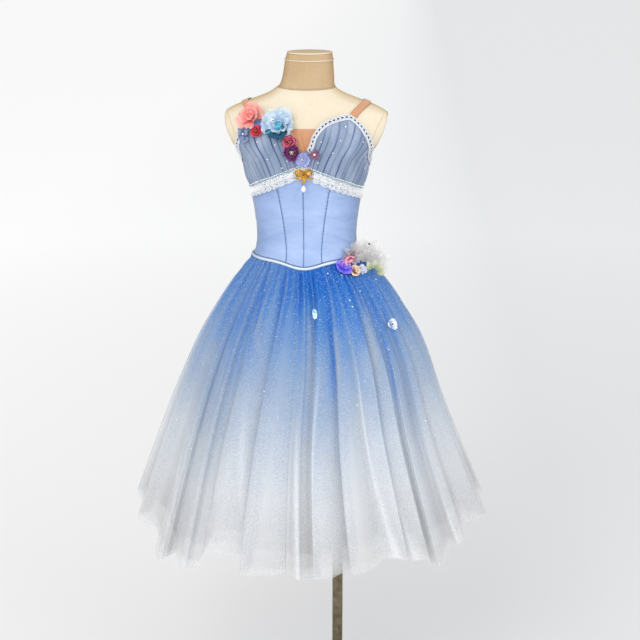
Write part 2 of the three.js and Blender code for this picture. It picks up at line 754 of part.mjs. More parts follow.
function bowOutline() {
  const half = [
    [6, 12, 19, 12, 20, 4],
    [21, -4, 12, -6, 5, -3],
    [9, -6, 13, -10, 20, -9],
    [14, -14, 6, -13, 2, -8],
  ];
  const outline = new THREE.Shape();
  outline.moveTo(0, 4);
  half.forEach((points) => outline.bezierCurveTo(...points));
  const pendant = [
    [2.5, -12],
    [4.6, -16],
    [2, -20.5],
    [2, -22.5],
  ];
  pendant.forEach(([x, z]) => outline.lineTo(x, z));
  pendant.reverse().forEach(([x, z]) => outline.lineTo(-x, z));
  outline.lineTo(-2, -8);
  outline.bezierCurveTo(-6, -13, -14, -14, -20, -9);
  outline.bezierCurveTo(-13, -10, -9, -6, -5, -3);
  outline.bezierCurveTo(-12, -6, -21, -4, -20, 4);
  outline.bezierCurveTo(-19, 12, -6, 12, 0, 4);
  return outline;
}

function makeBrooch() {
  let back = 0;
  for (const angle of [-9, -6, -3, 0, 3, 6, 9]) {
    for (const up of [-6, 0, 6, 12]) {
      back = Math.min(back, clothPoint(angle, bow.z + up, laceWall.to).y);
    }
  }
  back -= seam;
  const front = back - bow.thick;
  flat('brooch_bow', bowOutline(), bow.thick, back, bow.z, gold);
  flat('brooch_gem_left', oval(-12, 3, 5.5, 4), bow.gemThick, front - seam, bow.z, amber);
  flat('brooch_gem_right', oval(12, 3, 5.5, 4), bow.gemThick, front - seam, bow.z, amber);
  flat('brooch_gem_middle', oval(0, -1.5, 2.2, 3), bow.gemThick, front - seam, bow.z, garnet);

  const pinProfile = [
    [0, 0],
    [pin.radius, 0],
    [pin.radius, pin.long],
    [pin.headRadius, pin.long],
    [pin.headRadius, pin.long + pin.headThick],
    [0, pin.long + pin.headThick],
  ].map(([r, y]) => new THREE.Vector2(r, -y));
  const pinPiece = new THREE.Mesh(new THREE.LatheGeometry(pinProfile.reverse(), 10), gold);
  pinPiece.name = 'brooch_pin';
  pinPiece.position.set(dressX + bow.x, front - 0.02, pin.z + raised);
  group.add(pinPiece);

  const ring = new THREE.Shape();
  const shoulder = Math.asin(0.9 / drop.ringRadius);
  ring.absarc(0, 0, drop.ringRadius, -Math.PI / 2 + shoulder, 1.5 * Math.PI - shoulder, false);
  ring.lineTo(-0.9, -drop.stem);
  ring.lineTo(0.9, -drop.stem);
  const hole = new THREE.Path();
  hole.absarc(0, 0, pin.radius + 0.3, 0, 2 * Math.PI, true);
  ring.holes.push(hole);
  flat('drop_ring', ring, drop.thick, front - 0.3, pin.z, gold);

  const profile = [[0, 0]];
  const steps = 9;
  for (let i = 1; i < steps; i += 1) {
    const share = i / steps;
    const r = drop.pearlRadius * Math.sin(Math.PI * share) ** 0.8 * (0.62 + 0.45 * share);
    profile.push([r, -drop.pearlTall * share]);
  }
  profile.push([0, -drop.pearlTall]);
  const pearlShape = new THREE.LatheGeometry(
    profile.reverse().map(([r, z]) => new THREE.Vector2(r, z)),
    12,
  );
  pearlShape.rotateX(Math.PI / 2);
  const pearlPiece = new THREE.Mesh(pearlShape, pearl);
  pearlPiece.name = 'drop_pearl';
  const pearlTop = pin.z - drop.stem - 0.3;
  pearlPiece.position.set(dressX + bow.x, front - 0.3 - drop.thick / 2, pearlTop + raised);
  group.add(pearlPiece);
}

makeStand();
makeForm();
makeBodice();
makeCups();
makeTrims();
makeStraps();
makeSkirt();
for (const flower of chestFlowers) {
  makeFlower(flower, (angle, z, up) => clothPoint(angle, z, flowerSeat + up));
}
for (const flower of hipFlowers) {
  makeFlower(flower, (angle, z, up) => hipPoint(angle, z, up, flower.off));
}
makeOrnaments();
makeBrooch();

export default group;
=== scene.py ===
import json
import math
from functools import partial

import bpy
import numpy as np
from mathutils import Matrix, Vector

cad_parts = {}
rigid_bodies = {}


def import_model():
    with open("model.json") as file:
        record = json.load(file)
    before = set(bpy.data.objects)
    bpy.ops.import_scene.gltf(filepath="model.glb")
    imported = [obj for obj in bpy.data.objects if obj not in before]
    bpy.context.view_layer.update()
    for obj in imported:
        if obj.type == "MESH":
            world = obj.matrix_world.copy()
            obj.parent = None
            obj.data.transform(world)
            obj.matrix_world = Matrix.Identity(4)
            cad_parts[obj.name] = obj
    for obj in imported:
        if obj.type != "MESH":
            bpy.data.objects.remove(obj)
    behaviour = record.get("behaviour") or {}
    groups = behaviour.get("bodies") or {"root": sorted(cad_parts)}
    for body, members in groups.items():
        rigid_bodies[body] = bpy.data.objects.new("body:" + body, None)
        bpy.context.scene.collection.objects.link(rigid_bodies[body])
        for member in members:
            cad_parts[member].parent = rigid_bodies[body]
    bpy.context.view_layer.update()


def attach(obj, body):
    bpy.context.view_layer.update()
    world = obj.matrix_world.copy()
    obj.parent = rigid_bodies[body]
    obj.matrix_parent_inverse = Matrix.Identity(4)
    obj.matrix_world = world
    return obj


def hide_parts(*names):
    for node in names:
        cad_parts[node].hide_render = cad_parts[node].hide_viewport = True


# A ballet dress on a limbless dress form. Tables are in millimetres in the dress's own heights,
# and toFrame turns them to metres in the part's frame. Angles: 0 front, 90 the viewer's right.

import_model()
bpy.ops.object.select_all(action="DESELECT")

dress = {"axis": -78, "raised": 75, "waist": 1116, "basqueDrop": 14, "pipingTall": 7, "seam": 0.4,
         "underBustSide": 1290, "underBustRise": 66, "hem": 475}
body = "dress"
twoSides = (("left", -1), ("right", 1))


def columnsOf(names, rows):
    return {name: np.array([row[i] for row in rows], float) for i, name in enumerate(names)}


formRows = columnsOf(("z", "side", "front", "back", "plate"), [
    (920, 166, 104, 122, 1), (960, 168, 107, 126, 1), (1000, 165, 108, 124, 1),
    (1060, 150, 103, 113, 1), (1090, 140, 98, 104, 1), (1116, 130, 92, 95, 1),
    (1136, 120.5, 88, 88, 1), (1167, 117, 86, 84, 1), (1215, 120.5, 90, 88, 1),
    (1260, 127, 96, 96, 1), (1290, 130, 101, 101, 1), (1311, 138, 104, 105, 1),
    (1353, 148, 106, 110, 1), (1371, 155, 106, 112, 1.03), (1397, 169, 105, 113, 1.11),
    (1430, 184, 99, 111, 1.1), (1457, 190, 86, 104, 1.02), (1467, 184, 81, 100, 1),
    (1482, 154, 74, 92, 1), (1500, 104, 67, 81, 1), (1510, 82, 64, 74, 1), (1520, 68, 62, 68, 1)])
bust = {"angle": 32, "z": 1358, "rise": 18, "wide": 24, "tall": 52}
topEdge = columnsOf(("at", "z"), [
    (0, 1381), (4.5, 1394), (6.8, 1420), (12.5, 1443), (21, 1456), (33, 1461), (39, 1446),
    (45, 1424), (53, 1398), (66, 1374), (90, 1350), (112, 1334), (140, 1316), (180, 1308)])


def smooth(share):
    s = np.clip(share, 0, 1)
    return s * s * (3 - 2 * s)


def blend(a, b, share):
    return a + (b - a) * share


def bell(distance):
    return np.exp(-distance ** 2)


def sineCosine(degrees):
    return np.sin(np.radians(degrees)), np.cos(np.radians(degrees))


def allRound(count):
    # angles round a ring, without the last one, which is the first again
    return np.linspace(0, 360, count + 1)[:-1]


def gridOf(across, along):
    return np.meshgrid(across, along, indexing="ij")


def shares(columns, rows):
    return gridOf(np.linspace(0, 1, columns), np.linspace(0, 1, rows))


def pairs(across, along):
    return np.stack(gridOf(across, along), -1)


def numbered(columns, rows):
    # the column and the row of each cell of a grid
    return [index.ravel() for index in gridOf(np.arange(columns), np.arange(rows))]


def runAlong(path):
    # the length run at each point of a path
    return np.concatenate([[0], np.cumsum(np.linalg.norm(np.diff(path, axis=0), axis=1))])


def unit(vectors):
    return vectors / np.maximum(np.linalg.norm(vectors, axis=-1, keepdims=True), 1e-9)


def rowAt(table, key, at):
    # a row between two rows of a table, on a curve through its neighbours
    keys = table[key]
    last = len(keys) - 1
    x = np.clip(at, keys[0], keys[-1])
    i = np.clip(np.searchsorted(keys, x) - 1, 0, last - 1)
    before, after = np.maximum(i - 1, 0), np.minimum(i + 2, last)
    span = keys[i + 1] - keys[i]
    s = (x - keys[i]) / span
    found = {}
    for name, column in table.items():
        rise = (column[i + 1] - column[i]) / span
        start = np.where(before == i, rise, (column[i + 1] - column[before]) / (keys[i + 1] - keys[before]))
        end = np.where(after == i + 1, rise, (column[after] - column[i]) / (keys[after] - keys[i]))
        found[name] = (column[i] * (1 + 2 * s) * (1 - s) ** 2 + column[i + 1] * (3 - 2 * s) * s ** 2
                       + (start * s * (1 - s) ** 2 - end * (1 - s) * s ** 2) * span)
    return found


def wrapped(angle):
    return (np.asarray(angle, float) + 180) % 360 - 180


def bustRise(angle, z):
    up = bell((z - bust["z"]) / bust["tall"])
    sides = bell((angle - bust["angle"]) / bust["wide"]) + bell((angle + bust["angle"]) / bust["wide"])
    return bust["rise"] * up * sides


def formPoint(angle, z):
    angle, z = np.broadcast_arrays(np.asarray(angle, float), np.asarray(z, float))
    row = rowAt(formRows, "z", z)
    s, c = sineCosine(angle)
    out = bustRise(wrapped(angle), z)
    x = np.clip(row["side"] * row["plate"] * s, -row["side"], row["side"]) + out * s
    y = -np.where(c > 0, row["front"], row["back"]) * c - out * c
    return np.stack([x, y, z], -1)


def formNormal(angle, z, step=0.5):
    around = formPoint(angle + step, z) - formPoint(angle - step, z)
    upwards = formPoint(angle, z + step) - formPoint(angle, z - step)
    return unit(np.cross(around, upwards))


def clothPoint(angle, z, out):
    return formPoint(angle, z) + formNormal(angle, z) * np.asarray(out, float)[..., None]


def perDegree(angle, z):
    return np.linalg.norm(formPoint(angle + 0.5, z) - formPoint(angle - 0.5, z), axis=-1)


def waistLine(angle):
    return dress["waist"] - dress["basqueDrop"] * bell(wrapped(angle) / 20)


def underBust(angle):
    rise = (1 - np.abs(np.sin(np.radians(angle)))) ** 0.9
    return dress["underBustSide"] + dress["underBustRise"] * rise


def dressTop(angle):
    return rowAt(topEdge, "at", np.abs(wrapped(angle)))["z"]


def bodiceTop(angle):
    return np.where(np.abs(wrapped(angle)) < 90, underBust(angle) - 8, dressTop(angle))


def toFrame(points):
    return (np.asarray(points, float) + (dress["axis"], 0, dress["raised"])) * 0.001


def wander(x, seed):
    # a soft wandering value between about -1 and 1 along x, the same in each run
    x = np.asarray(x, float)
    return (np.sin(x * 1.0 + seed * 12.99) + 0.7 * np.sin(x * 1.83 + seed * 4.1 + 1)
            + 0.5 * np.sin(x * 3.1 + seed * 7.7 + 2)) / 1.7


# Meshes

def newObject(name, points, faces, uvs=None, smoothShade=True):
    mesh = bpy.data.meshes.new(name)
    mesh.from_pydata([tuple(p) for p in points], [], [tuple(int(k) for k in f) for f in faces])
    if uvs is not None:
        layer = mesh.uv_layers.new(name="UVMap")
        layer.data.foreach_set("uv", np.asarray(uvs, np.float32).ravel())
    mesh.polygons.foreach_set("use_smooth", [smoothShade] * len(mesh.polygons))
    mesh.update()
    obj = bpy.data.objects.new(name, mesh)
    bpy.context.collection.objects.link(obj)
    return obj


def setAttribute(obj, name, values):
    layer = obj.data.attributes.new(name, "FLOAT", "POINT")
    layer.data.foreach_set("value", np.asarray(values, np.float32).ravel())


def gridFaces(columns, rows, closed=False):
    i, j = numbered(columns if closed else columns - 1, rows - 1)
    k = (i + 1) % columns
    return np.stack([i * rows + j, k * rows + j, k * rows + j + 1, i * rows + j + 1], 1)


def gridUvs(uv, columns, rows, closed=False):
    # uv has one more column than the points where the grid closes on itself
    i, j = numbered(columns if closed else columns - 1, rows - 1)
    return np.stack([uv[i, j], uv[i + 1, j], uv[i + 1, j + 1], uv[i, j + 1]], 1)


def surfaceNormals(points, closed=False):
    if closed:
        around = np.roll(points, -1, 0) - np.roll(points, 1, 0)
    else:
        around = np.gradient(points, axis=0)
    return unit(np.cross(around, np.gradient(points, axis=1)))


def clothGrid(name, points, uv, closed=False, thick=0, attributes=None):
    # a grid of points as one sheet, or as two faces joined along their edges where it has a thickness
    columns, rows = points.shape[:2]
    faces = gridFaces(columns, rows, closed)
    uvs = gridUvs(uv, columns, rows, closed)
    flat = points.reshape(-1, 3)
    values = {key: value.ravel() for key, value in (attributes or {}).items()}
    if thick:
        inner = (points - surfaceNormals(points, closed) * thick).reshape(-1, 3)
        count = len(flat)
        i = np.arange(columns if closed else columns - 1)
        k = (i + 1) % columns
        low, top = i * rows, i * rows + rows - 1
        lowNext, topNext = k * rows, k * rows + rows - 1
        rims = [np.stack([low + count, lowNext + count, lowNext, low], 1),
                np.stack([top, topNext, topNext + count, top + count], 1)]
        if not closed:
            j = np.arange(rows - 1)
            end = (columns - 1) * rows
            rims += [np.stack([j, j + 1, j + 1 + count, j + count], 1),
                     np.stack([end + j + count, end + j + 1 + count, end + j + 1, end + j], 1)]
        rims = np.concatenate(rims)
        plain = uv[:columns].reshape(-1, 2)
        faces = np.concatenate([faces, faces[:, ::-1] + count, rims])
        uvs = np.concatenate([uvs, uvs[:, ::-1], plain[rims % count]])
        flat = np.concatenate([flat, inner])
        values = {key: np.concatenate([value, value]) for key, value in values.items()}
    obj = newObject(name, toFrame(flat), faces, uvs)
    for key, value in values.items():
        setAttribute(obj, key, value)
    return obj


def tubeAlong(path, radius, sides=6, closed=False, guide=(0.0, 0.0, 1.0)):
    # points and faces of a round cord along a path
    path = np.asarray(path, float)
    ahead = np.roll(path, -1, 0) - np.roll(path, 1, 0) if closed else np.gradient(path, axis=0)
    ahead = unit(ahead)
    across = unit(np.cross(ahead, np.broadcast_to(guide, path.shape)))
    upright = np.cross(across, ahead)
    turn = np.linspace(0, 2 * np.pi, sides, endpoint=False)
    radii = np.broadcast_to(np.asarray(radius, float), (len(path),))[:, None, None]
    ring = across[:, None] * np.cos(turn)[None, :, None] + upright[:, None] * np.sin(turn)[None, :, None]
    points = (path[:, None] + ring * radii).reshape(-1, 3)
    count = len(path)
    i, s = numbered(count if closed else count - 1, sides)
    k, t = (i + 1) % count, (s + 1) % sides
    faces = [tuple(f) for f in np.stack([i * sides + s, k * sides + s, k * sides + t, i * sides + t], 1)]
    if not closed:
        faces.append(tuple(range(sides)))
        faces.append(tuple((count - 1) * sides + s for s in range(sides))[::-1])
    return points, faces


class Heap:
    # gathers the meshes of many small things, to be joined in one piece
    def __init__(self):
        self.points, self.faces, self.values, self.count = [], [], [], 0

    def add(self, points, faces, values=None):
        self.points.append(np.asarray(points, float))
        self.values.append(np.zeros(len(points)) if values is None else np.asarray(values, float))
        self.faces += [tuple(k + self.count for k in face) for face in faces]
        self.count += len(points)

    def make(self, name, smoothShade=True):
        obj = newObject(name, toFrame(np.concatenate(self.points)), self.faces, smoothShade=smoothShade)
        setAttribute(obj, "reach", np.concatenate(self.values))
        return obj


def turned(name, sides, profile, smoothShade=True):
    # a solid of rings: a disc extruded and resized from row to row of (radius, height) in millimetres
    radius, height = profile[0]
    bpy.ops.mesh.primitive_circle_add(vertices=sides, radius=radius * 0.001, fill_type="NGON",
                                      location=(0, 0, height * 0.001))
    obj = bpy.context.object
    obj.name = obj.data.name = name
    bpy.ops.object.transform_apply(location=True, rotation=True, scale=True)
    bpy.ops.object.mode_set(mode="EDIT")
    bpy.ops.mesh.select_all(action="SELECT")
    for r, z in profile[1:]:
        bpy.ops.mesh.extrude_region_move(TRANSFORM_OT_translate={"value": (0, 0, (z - height) * 0.001)})
        bpy.ops.transform.resize(value=(r / radius, r / radius, 1), center_override=(0, 0, z * 0.001))
        radius, height = r, z
    bpy.ops.mesh.select_all(action="SELECT")
    bpy.ops.mesh.normals_make_consistent(inside=False)
    bpy.ops.object.mode_set(mode="OBJECT")
    if smoothShade:
        bpy.ops.object.shade_smooth_by_angle(angle=math.radians(40))
    obj.select_set(False)
    return obj


def meshOf(obj):
    # the points in millimetres and the faces of a modelled object, which is then removed
    points = np.array([v.co for v in obj.data.vertices]) * 1000
    faces = [tuple(p.vertices) for p in obj.data.polygons]
    bpy.data.objects.remove(obj, do_unlink=True)
    return points, faces


def placed(points, origin, right, up, out, size=1.0):
    return origin + (points[:, :1] * right + points[:, 1:2] * up + points[:, 2:3] * out) * size


# Materials

def hexColour(code):
    channels = [int(code[i:i + 2], 16) / 255 for i in (0, 2, 4)]
    return (*[c / 12.92 if c <= 0.04045 else ((c + 0.055) / 1.055) ** 2.4 for c in channels], 1)


def addNode(material, kind, inputs=None, stops=(), **settings):
    # inputs by name or number: a number, a hex colour, a node, or a node with the name of its output
    tree = material.node_tree
    node = kind if isinstance(kind, bpy.types.Node) else tree.nodes.new(kind)
    for name, value in settings.items():
        setattr(node, name, value)
    for _ in range(len(stops) - 2):
        node.color_ramp.elements.new(0.5)
    for i, (place, colour) in enumerate(stops):
        element = node.color_ramp.elements[i]
        element.position = place
        element.color = hexColour(colour) if isinstance(colour, str) else (colour,) * 3 + (1,)
    for name, value in (inputs or {}).items():
        socket = node.inputs[name]
        if isinstance(value, bpy.types.Node):
            tree.links.new(next(output for output in value.outputs if output.enabled), socket)
        elif isinstance(value, tuple) and isinstance(value[0], bpy.types.Node):
            tree.links.new(value[0].outputs[value[1]], socket)
        else:
            socket.default_value = hexColour(value) if isinstance(value, str) else value
    return node


def newMaterial(name):
    # a material with its shader node and a short way to add nodes to it
    material = bpy.data.materials.new(name)
    material.use_nodes = True
    return material, material.node_tree.nodes["Principled BSDF"], partial(addNode, material)


def finishPiece(obj, material, slot, replaced=(), rides=body):
    obj.data.materials.clear()
    obj.data.materials.append(material)
    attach(obj, rides)
    if replaced:
        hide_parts(*([replaced] if isinstance(replaced, str) else replaced))
    return obj


def objectPlace(node, stretch=None):
    # the object's own coordinates, stretched where that is given
    place = (node("ShaderNodeTexCoord"), "Object")
    return node("ShaderNodeMapping", {"Vector": place, "Scale": stretch}) if stretch else place


def noise(node, scale, detail, stretch=None):
    place = objectPlace(node, stretch)
    return node("ShaderNodeTexNoise", {"Vector": place, "Scale": scale, "Detail": detail})


def cells(node, scale, **settings):
    return node("ShaderNodeTexVoronoi", {"Vector": objectPlace(node), "Scale": scale}, **settings)


def painted(node, name):
    # a value that the mesh carries at each of its points
    return node("ShaderNodeAttribute", attribute_name=name), "Fac"


def ramp(node, value, stops):
    return node("ShaderNodeValToRGB", {"Fac": value}, stops=stops)


def mixed(node, share, below, above, how="MIX"):
    return node("ShaderNodeMix", {0: share, 6: below, 7: above}, data_type="RGBA", blend_type=how)


def worked(node, how, *values, **settings):
    return node("ShaderNodeMath", dict(enumerate(values)), operation=how, **settings)


def bump(node, height, distance, strength):
    return node("ShaderNodeBump", {"Height": height, "Distance": distance, "Strength": strength})


def shadedByTurn(node, cloth, stops):
    # painted shade: the cloth darkens where it turns away from the eye
    edge = node("ShaderNodeLayerWeight", {"Blend": 0.5})
    return mixed(node, 1.0, cloth, ramp(node, (edge, "Facing"), stops), "MULTIPLY")


def linenMaterial(name, colour, shade, slub):
    # linen calico, plain woven and unbleached: matt, with threads of uneven thickness
    material, shader, node = newMaterial(name)
    # slubs 0.4 mm thick and about 4 mm long, along and across
    threads = [noise(node, 1.0, 2.0, stretch) for stretch in ((260, 260, 2400), (2400, 2400, 260))]
    weave = worked(node, "ADD", *threads)
    tint = ramp(node, noise(node, 9.0, 3.0), [(0.3, colour), (0.75, shade)])
    speck = ramp(node, worked(node, "MULTIPLY", weave, 0.5), [(0.36, slub), (0.5, "FFFFFF")])
    # painted shade: the linen darkens to tan towards its edges where it turns away
    cloth = shadedByTurn(node, mixed(node, 0.4, tint, speck, "MULTIPLY"),
                         [(0.35, "FFFFFF"), (0.65, "EFE6D4"), (0.9, "CDBB98")])
    node(shader, {"Base Color": cloth, "Normal": bump(node, weave, 0.0004, 0.5), "Roughness": 0.92,
                  "Specular IOR Level": 0.2, "Sheen Weight": 0.15})
    return material


def satinMaterial(name, colours):
    # duchess satin, woven with long floats: a soft broad sheen along the cloth
    material, shader, node = newMaterial(name)
    tint = ramp(node, noise(node, 1.0, 2.0, (14, 14, 26)), list(zip((0.3, 0.55, 0.8), colours)))
    weft = noise(node, 1.0, 3.0, (60, 60, 650))  # floats drawn 1.5 mm apart, so that they show
    streak = ramp(node, weft, [(0.35, "E6EDF8"), (0.65, "FFFFFF")])
    cloth = mixed(node, 0.5, tint, streak, "MULTIPLY")
    # painted shade in the grooves along the seams and the placket's fold
    cloth = mixed(node, painted(node, "groove"), cloth, "5C78B4")
    # painted shade: the satin darkens towards its sides where it turns away
    cloth = shadedByTurn(node, cloth, [(0.08, "FFFFFF"), (0.3, "EAEEF3"), (0.55, "CCD4DE"), (0.85, "A2AEBC")])
    node(shader, {"Base Color": cloth, "Normal": bump(node, weft, 0.0003, 0.3), "Roughness": 0.44,
                  "Specular IOR Level": 0.35, "Sheen Weight": 0.25, "Sheen Roughness": 0.4})
    return material


def threadMaterial(name, colour, light, roughness=0.7):
    # spun polyester thread and cord: matt with a faint shine, twisted every 2 mm
    material, shader, node = newMaterial(name)
    twist = noise(node, 900.0, 1.0)
    tint = ramp(node, twist, [(0.35, colour), (0.65, light)])
    node(shader, {"Base Color": tint, "Normal": bump(node, twist, 0.0003, 0.6), "Roughness": roughness,
                  "Specular IOR Level": 0.3})
    return material


def metalMaterial(name, colour, light, roughness):
    # cast or drawn metal with a worn finish: broad soft reflections that vary a little
    material, shader, node = newMaterial(name)
    wear = noise(node, 60.0, 4.0)
    gloss = node("ShaderNodeMapRange", {"Value": wear, "To Min": roughness - 0.06,
                                        "To Max": roughness + 0.08})
    node(shader, {"Base Color": ramp(node, wear, [(0.35, colour), (0.7, light)]), "Roughness": gloss,
                  "Metallic": 1.0})
    return material


def glossMaterial(name, colour, light, roughness, metallic=0.0, coat=0.0):
    # glass, pearl and film: smooth and bright, with a colour that shifts over each stone
    material, shader, node = newMaterial(name)
    tint = ramp(node, noise(node, 300.0, 1.0), [(0.4, colour), (0.6, light)])
    node(shader, {"Base Color": tint, "Roughness": roughness, "Metallic": metallic, "Coat Weight": coat,
                  "Specular IOR Level": 0.8})
    return material


print("materials")
linen = linenMaterial("calico linen", "E6DBC6", "DED1B9", "CFC0A3")
neckLinen = linenMaterial("beige linen", "C9B18E", "BCA17C", "A68B66")
satin = satinMaterial("duchess satin", ("9CB3DB", "A7BCE3", "B2C6EB"))
# a paler copy of the satin: painted highlight on the rolled piping
pipingSatinWithHighlight = satinMaterial("satin piping", ("CFE0F8", "DAE8FB", "E4F0FF"))
navyThread = threadMaterial("navy polyester thread", "33497F", "5A72AC")
beigeThread = threadMaterial("beige linen thread", "B59E78", "CDB993")
whiteCord = threadMaterial("white viscose cord", "E9EDF2", "FFFFFF", 0.55)
bronze = metalMaterial("bronze lacquered steel", "6A5F4B", "8B806B", 0.3)
gilt = metalMaterial("gilt brass", "B9832B", "E3B457", 0.24)
pearlGloss = glossMaterial("imitation pearl", "EDE7DF", "F8F5F2", 0.16, coat=0.6)
crystalGlass = glossMaterial("rainbow coated crystal", "CFE4F4", "F4FAFF", 0.06, coat=0.8)
lilacGlass = glossMaterial("lilac crystal", "B9AEE0", "E9E2FA", 0.08)
tealGlass = glossMaterial("turquoise glass bead", "1F93B8", "6FD0E4", 0.08)
tealFoil = glossMaterial("silver lined teal bead", "6FA3B4", "C4DDE4", 0.12, metallic=0.5)
goldGlass = glossMaterial("gold foiled glass", "C99A3C", "F2DC9A", 0.1, metallic=0.6)
darkGlass = glossMaterial("black glass bead", "15151F", "3A3A55", 0.08)
amberGlass = glossMaterial("foiled amber glass", "A8650F", "FFE398", 0.1, metallic=0.6)
garnetGlass = glossMaterial("dark red glass", "4E0812", "A31A2E", 0.07)
silverSequin = glossMaterial("silver film sequin", "DDE6EE", "FFFFFF", 0.15, metallic=0.8)
blueFlake = glossMaterial("pale blue film flake", "B9CDE8", "E6EEF8", 0.3)
rainbowFilm = glossMaterial("iridescent film petal", "B4D8F4", "FBF2FA", 0.2)
aquaCrystal = glossMaterial("aqua cut crystal", "5FB4D8", "D6F4FA", 0.08, coat=0.8)

# Form and stand

form = {"columns": 200, "levels": 150, "bottom": 920, "neckBase": 1520, "neckTop": 1597, "seam": 0.55,
        "plateSeam": 11, "backRun": (1310, 1519), "plateRun": (1366, 1462), "shoulderRun": (1463, 1519),
        "neckPiping": 1583}
neckRows = columnsOf(("z", "side", "shift"), [
    (1520.4, 66, 1), (1530, 62.5, 3), (1545, 60, 5), (1565, 57.5, 6), (1583, 55.5, 7), (1597, 52.5, 8)])
stand = {"pole": 13.5, "poleLow": 19.4, "poleTop": 994.6, "base": [
    (169, 0), (172, 3), (172, 9), (167, 15), (46, 22), (24, 27), (22, 30), (22, 60), (20, 62), (13.9, 62),
    (13.9, 19.2)]}


def cappedTube(name, points, uv):
    # a closed tube of rings with its ends filled
    columns, rows = points.shape[:2]
    faces = [tuple(f) for f in gridFaces(columns, rows, True)]
    uvs = list(gridUvs(uv, columns, rows, True).reshape(-1, 2))
    bottom = tuple(i * rows for i in range(columns))[::-1]
    top = tuple(i * rows + rows - 1 for i in range(columns))
    for ring, row in ((bottom, 0), (top, rows - 1)):
        faces.append(ring)
        uvs += [uv[0, row]] * columns
    return newObject(name, toFrame(points.reshape(-1, 3)), faces, np.array(uvs))


def neckPoint(angle, z, out=0.0):
    row = rowAt(neckRows, "z", z)
    s, c = sineCosine(angle)
    return np.stack([(row["side"] + out) * s + row["shift"], -(0.97 * row["side"] + out) * c, z + 0 * s], -1)


def makeForm():
    angles = np.linspace(0, 360, form["columns"] + 1)
    levels = np.linspace(form["bottom"], form["neckBase"], form["levels"])
    levels = np.concatenate([levels[:-30], np.linspace(levels[-30], levels[-1], 60)])
    a, z = gridOf(angles[:-1], levels)
    uv = pairs(angles * 0.0025, levels * 0.001)
    finishPiece(cappedTube("form_cover", formPoint(a, z), uv), linen, "linen", "form_torso")
    levels = np.linspace(form["neckBase"] + 0.4, form["neckTop"], 40)
    a, z = gridOf(angles[:-1], levels)
    uv = pairs(angles * 0.001, levels * 0.001)
    finishPiece(cappedTube("form_neck_cover", neckPoint(a, z), uv), neckLinen, "neck_linen", "form_neck")
    capRows = [(0.4, 52.5), (1.4, 53), (2.8, 52.6), (3.6, 51), (4, 47), (4.2, 38), (4.2, 20)]
    s, c = sineCosine(angles[:-1])
    points = np.stack([np.stack([r * s + 8, -0.97 * r * c, form["neckTop"] + up + 0 * s], -1)
                       for up, r in capRows], 1)
    finishPiece(cappedTube("form_cap_cover", points, np.zeros((len(angles), len(capRows), 2))),
                linen, "linen", "form_cap")
    seams = Heap()
    around = allRound(120)
    path = neckPoint(around, form["neckBase"] + 0.8 + 0 * around, 1.2)
    seams.add(*tubeAlong(path, form["seam"] + 0.25, closed=True))
    level = np.linspace(*form["backRun"], 90)
    seams.add(*tubeAlong(formPoint(180 + 0 * level, level), form["seam"], guide=(0, 1, 0)))
    level = np.linspace(*form["plateRun"], 50)
    plate = rowAt(formRows, "z", level)["plate"]
    side = np.degrees(np.arcsin(1 / np.maximum(plate, 1)))
    for angle in (side - form["plateSeam"], 180 - side, form["plateSeam"] - side, 180 + side):
        seams.add(*tubeAlong(formPoint(angle, level), form["seam"] - 0.1, guide=(0, 1, 0)))
    level = np.linspace(*form["shoulderRun"], 50)
    for sign in (-1, 1):
        seams.add(*tubeAlong(formPoint(sign * 90 + 0 * level, level), form["seam"], guide=(0, 1, 0)))
    finishPiece(seams.make("form_seams"), beigeThread, "linen")
    ring = Heap()
    ring.add(*tubeAlong(neckPoint(around, form["neckPiping"] + 0 * around, 0.6), 1.5, 8, closed=True))
    finishPiece(ring.make("form_neck_piping"), linen, "linen")


def makeStand():
    base = turned("stand_foot", 96, stand["base"])
    finishPiece(base, bronze, "stand_base", "stand_base")
    low, top, r = stand["poleLow"], stand["poleTop"], stand["pole"]
    pole = turned("stand_tube", 48, [(r - 1, low), (r, low + 1), (r, top - 1), (r - 1, top)])
    finishPiece(pole, bronze, "stand_pole", "stand_pole")


print("form and stand")
makeForm()
makeStand()

# Bodice

bodice = {"wall": 2.6, "seamDip": 0.9, "seamWide": 3.2, "pucker": 0.3, "puckerEvery": 9, "thread": 0.28,
          "perDegree": 2.05, "gap": 0.1, "rows": 80}
placket = {"start": 175, "turn": 10, "top": 1295, "out": 4.4}
# soft creases in the satin: centre, height, half length, tilt from level, half width, depth
satinCreases = [
    (-4, 1296, 36, 62, 7, 1.2), (5, 1300, 30, 74, 6, 0.9), (-11.5, 1318, 26, 78, 4, 0.8),
    (-8, 1276, 24, 66, 4, 0.8), (-44, 1262, 40, 24, 6, 1.1),
    (-56, 1270, 46, 16, 7, 1.2), (-52, 1160, 60, 34, 8, 1.7), (-68, 1150, 64, 26, 8, 1.9),
    (-60, 1183, 46, 20, 7, 1.1), (-75, 1205, 50, 12, 8, 1.2), (49, 1262, 38, -26, 6, 1.2),
    (62, 1266, 44, -15, 7, 1.2), (56, 1158, 62, -33, 8, 1.9), (71, 1148, 60, -24, 8, 1.8),
    (64, 1186, 48, -18, 7, 1.0), (78, 1212, 50, -10, 8, 1.2), (-12, 1180, 54, 6, 5, 0.6),
    (12, 1150, 50, -5, 5, 0.6), (-25, 1222, 40, 10, 5, 0.6), (26, 1228, 44, -10, 5, 0.6),
    (105, 1160, 60, 26, 8, 1.6), (-105, 1165, 60, -26, 8, 1.6), (120, 1230, 50, 12, 7, 1.1),
    (-122, 1226, 52, -12, 7, 1.1), (160, 1170, 44, 30, 7, 1.2), (-160, 1175, 46, -28, 7, 1.2)]


def princess(z):
    return 19 + (z - 1112) / (1298 - 1112) * (27.7 - 19)


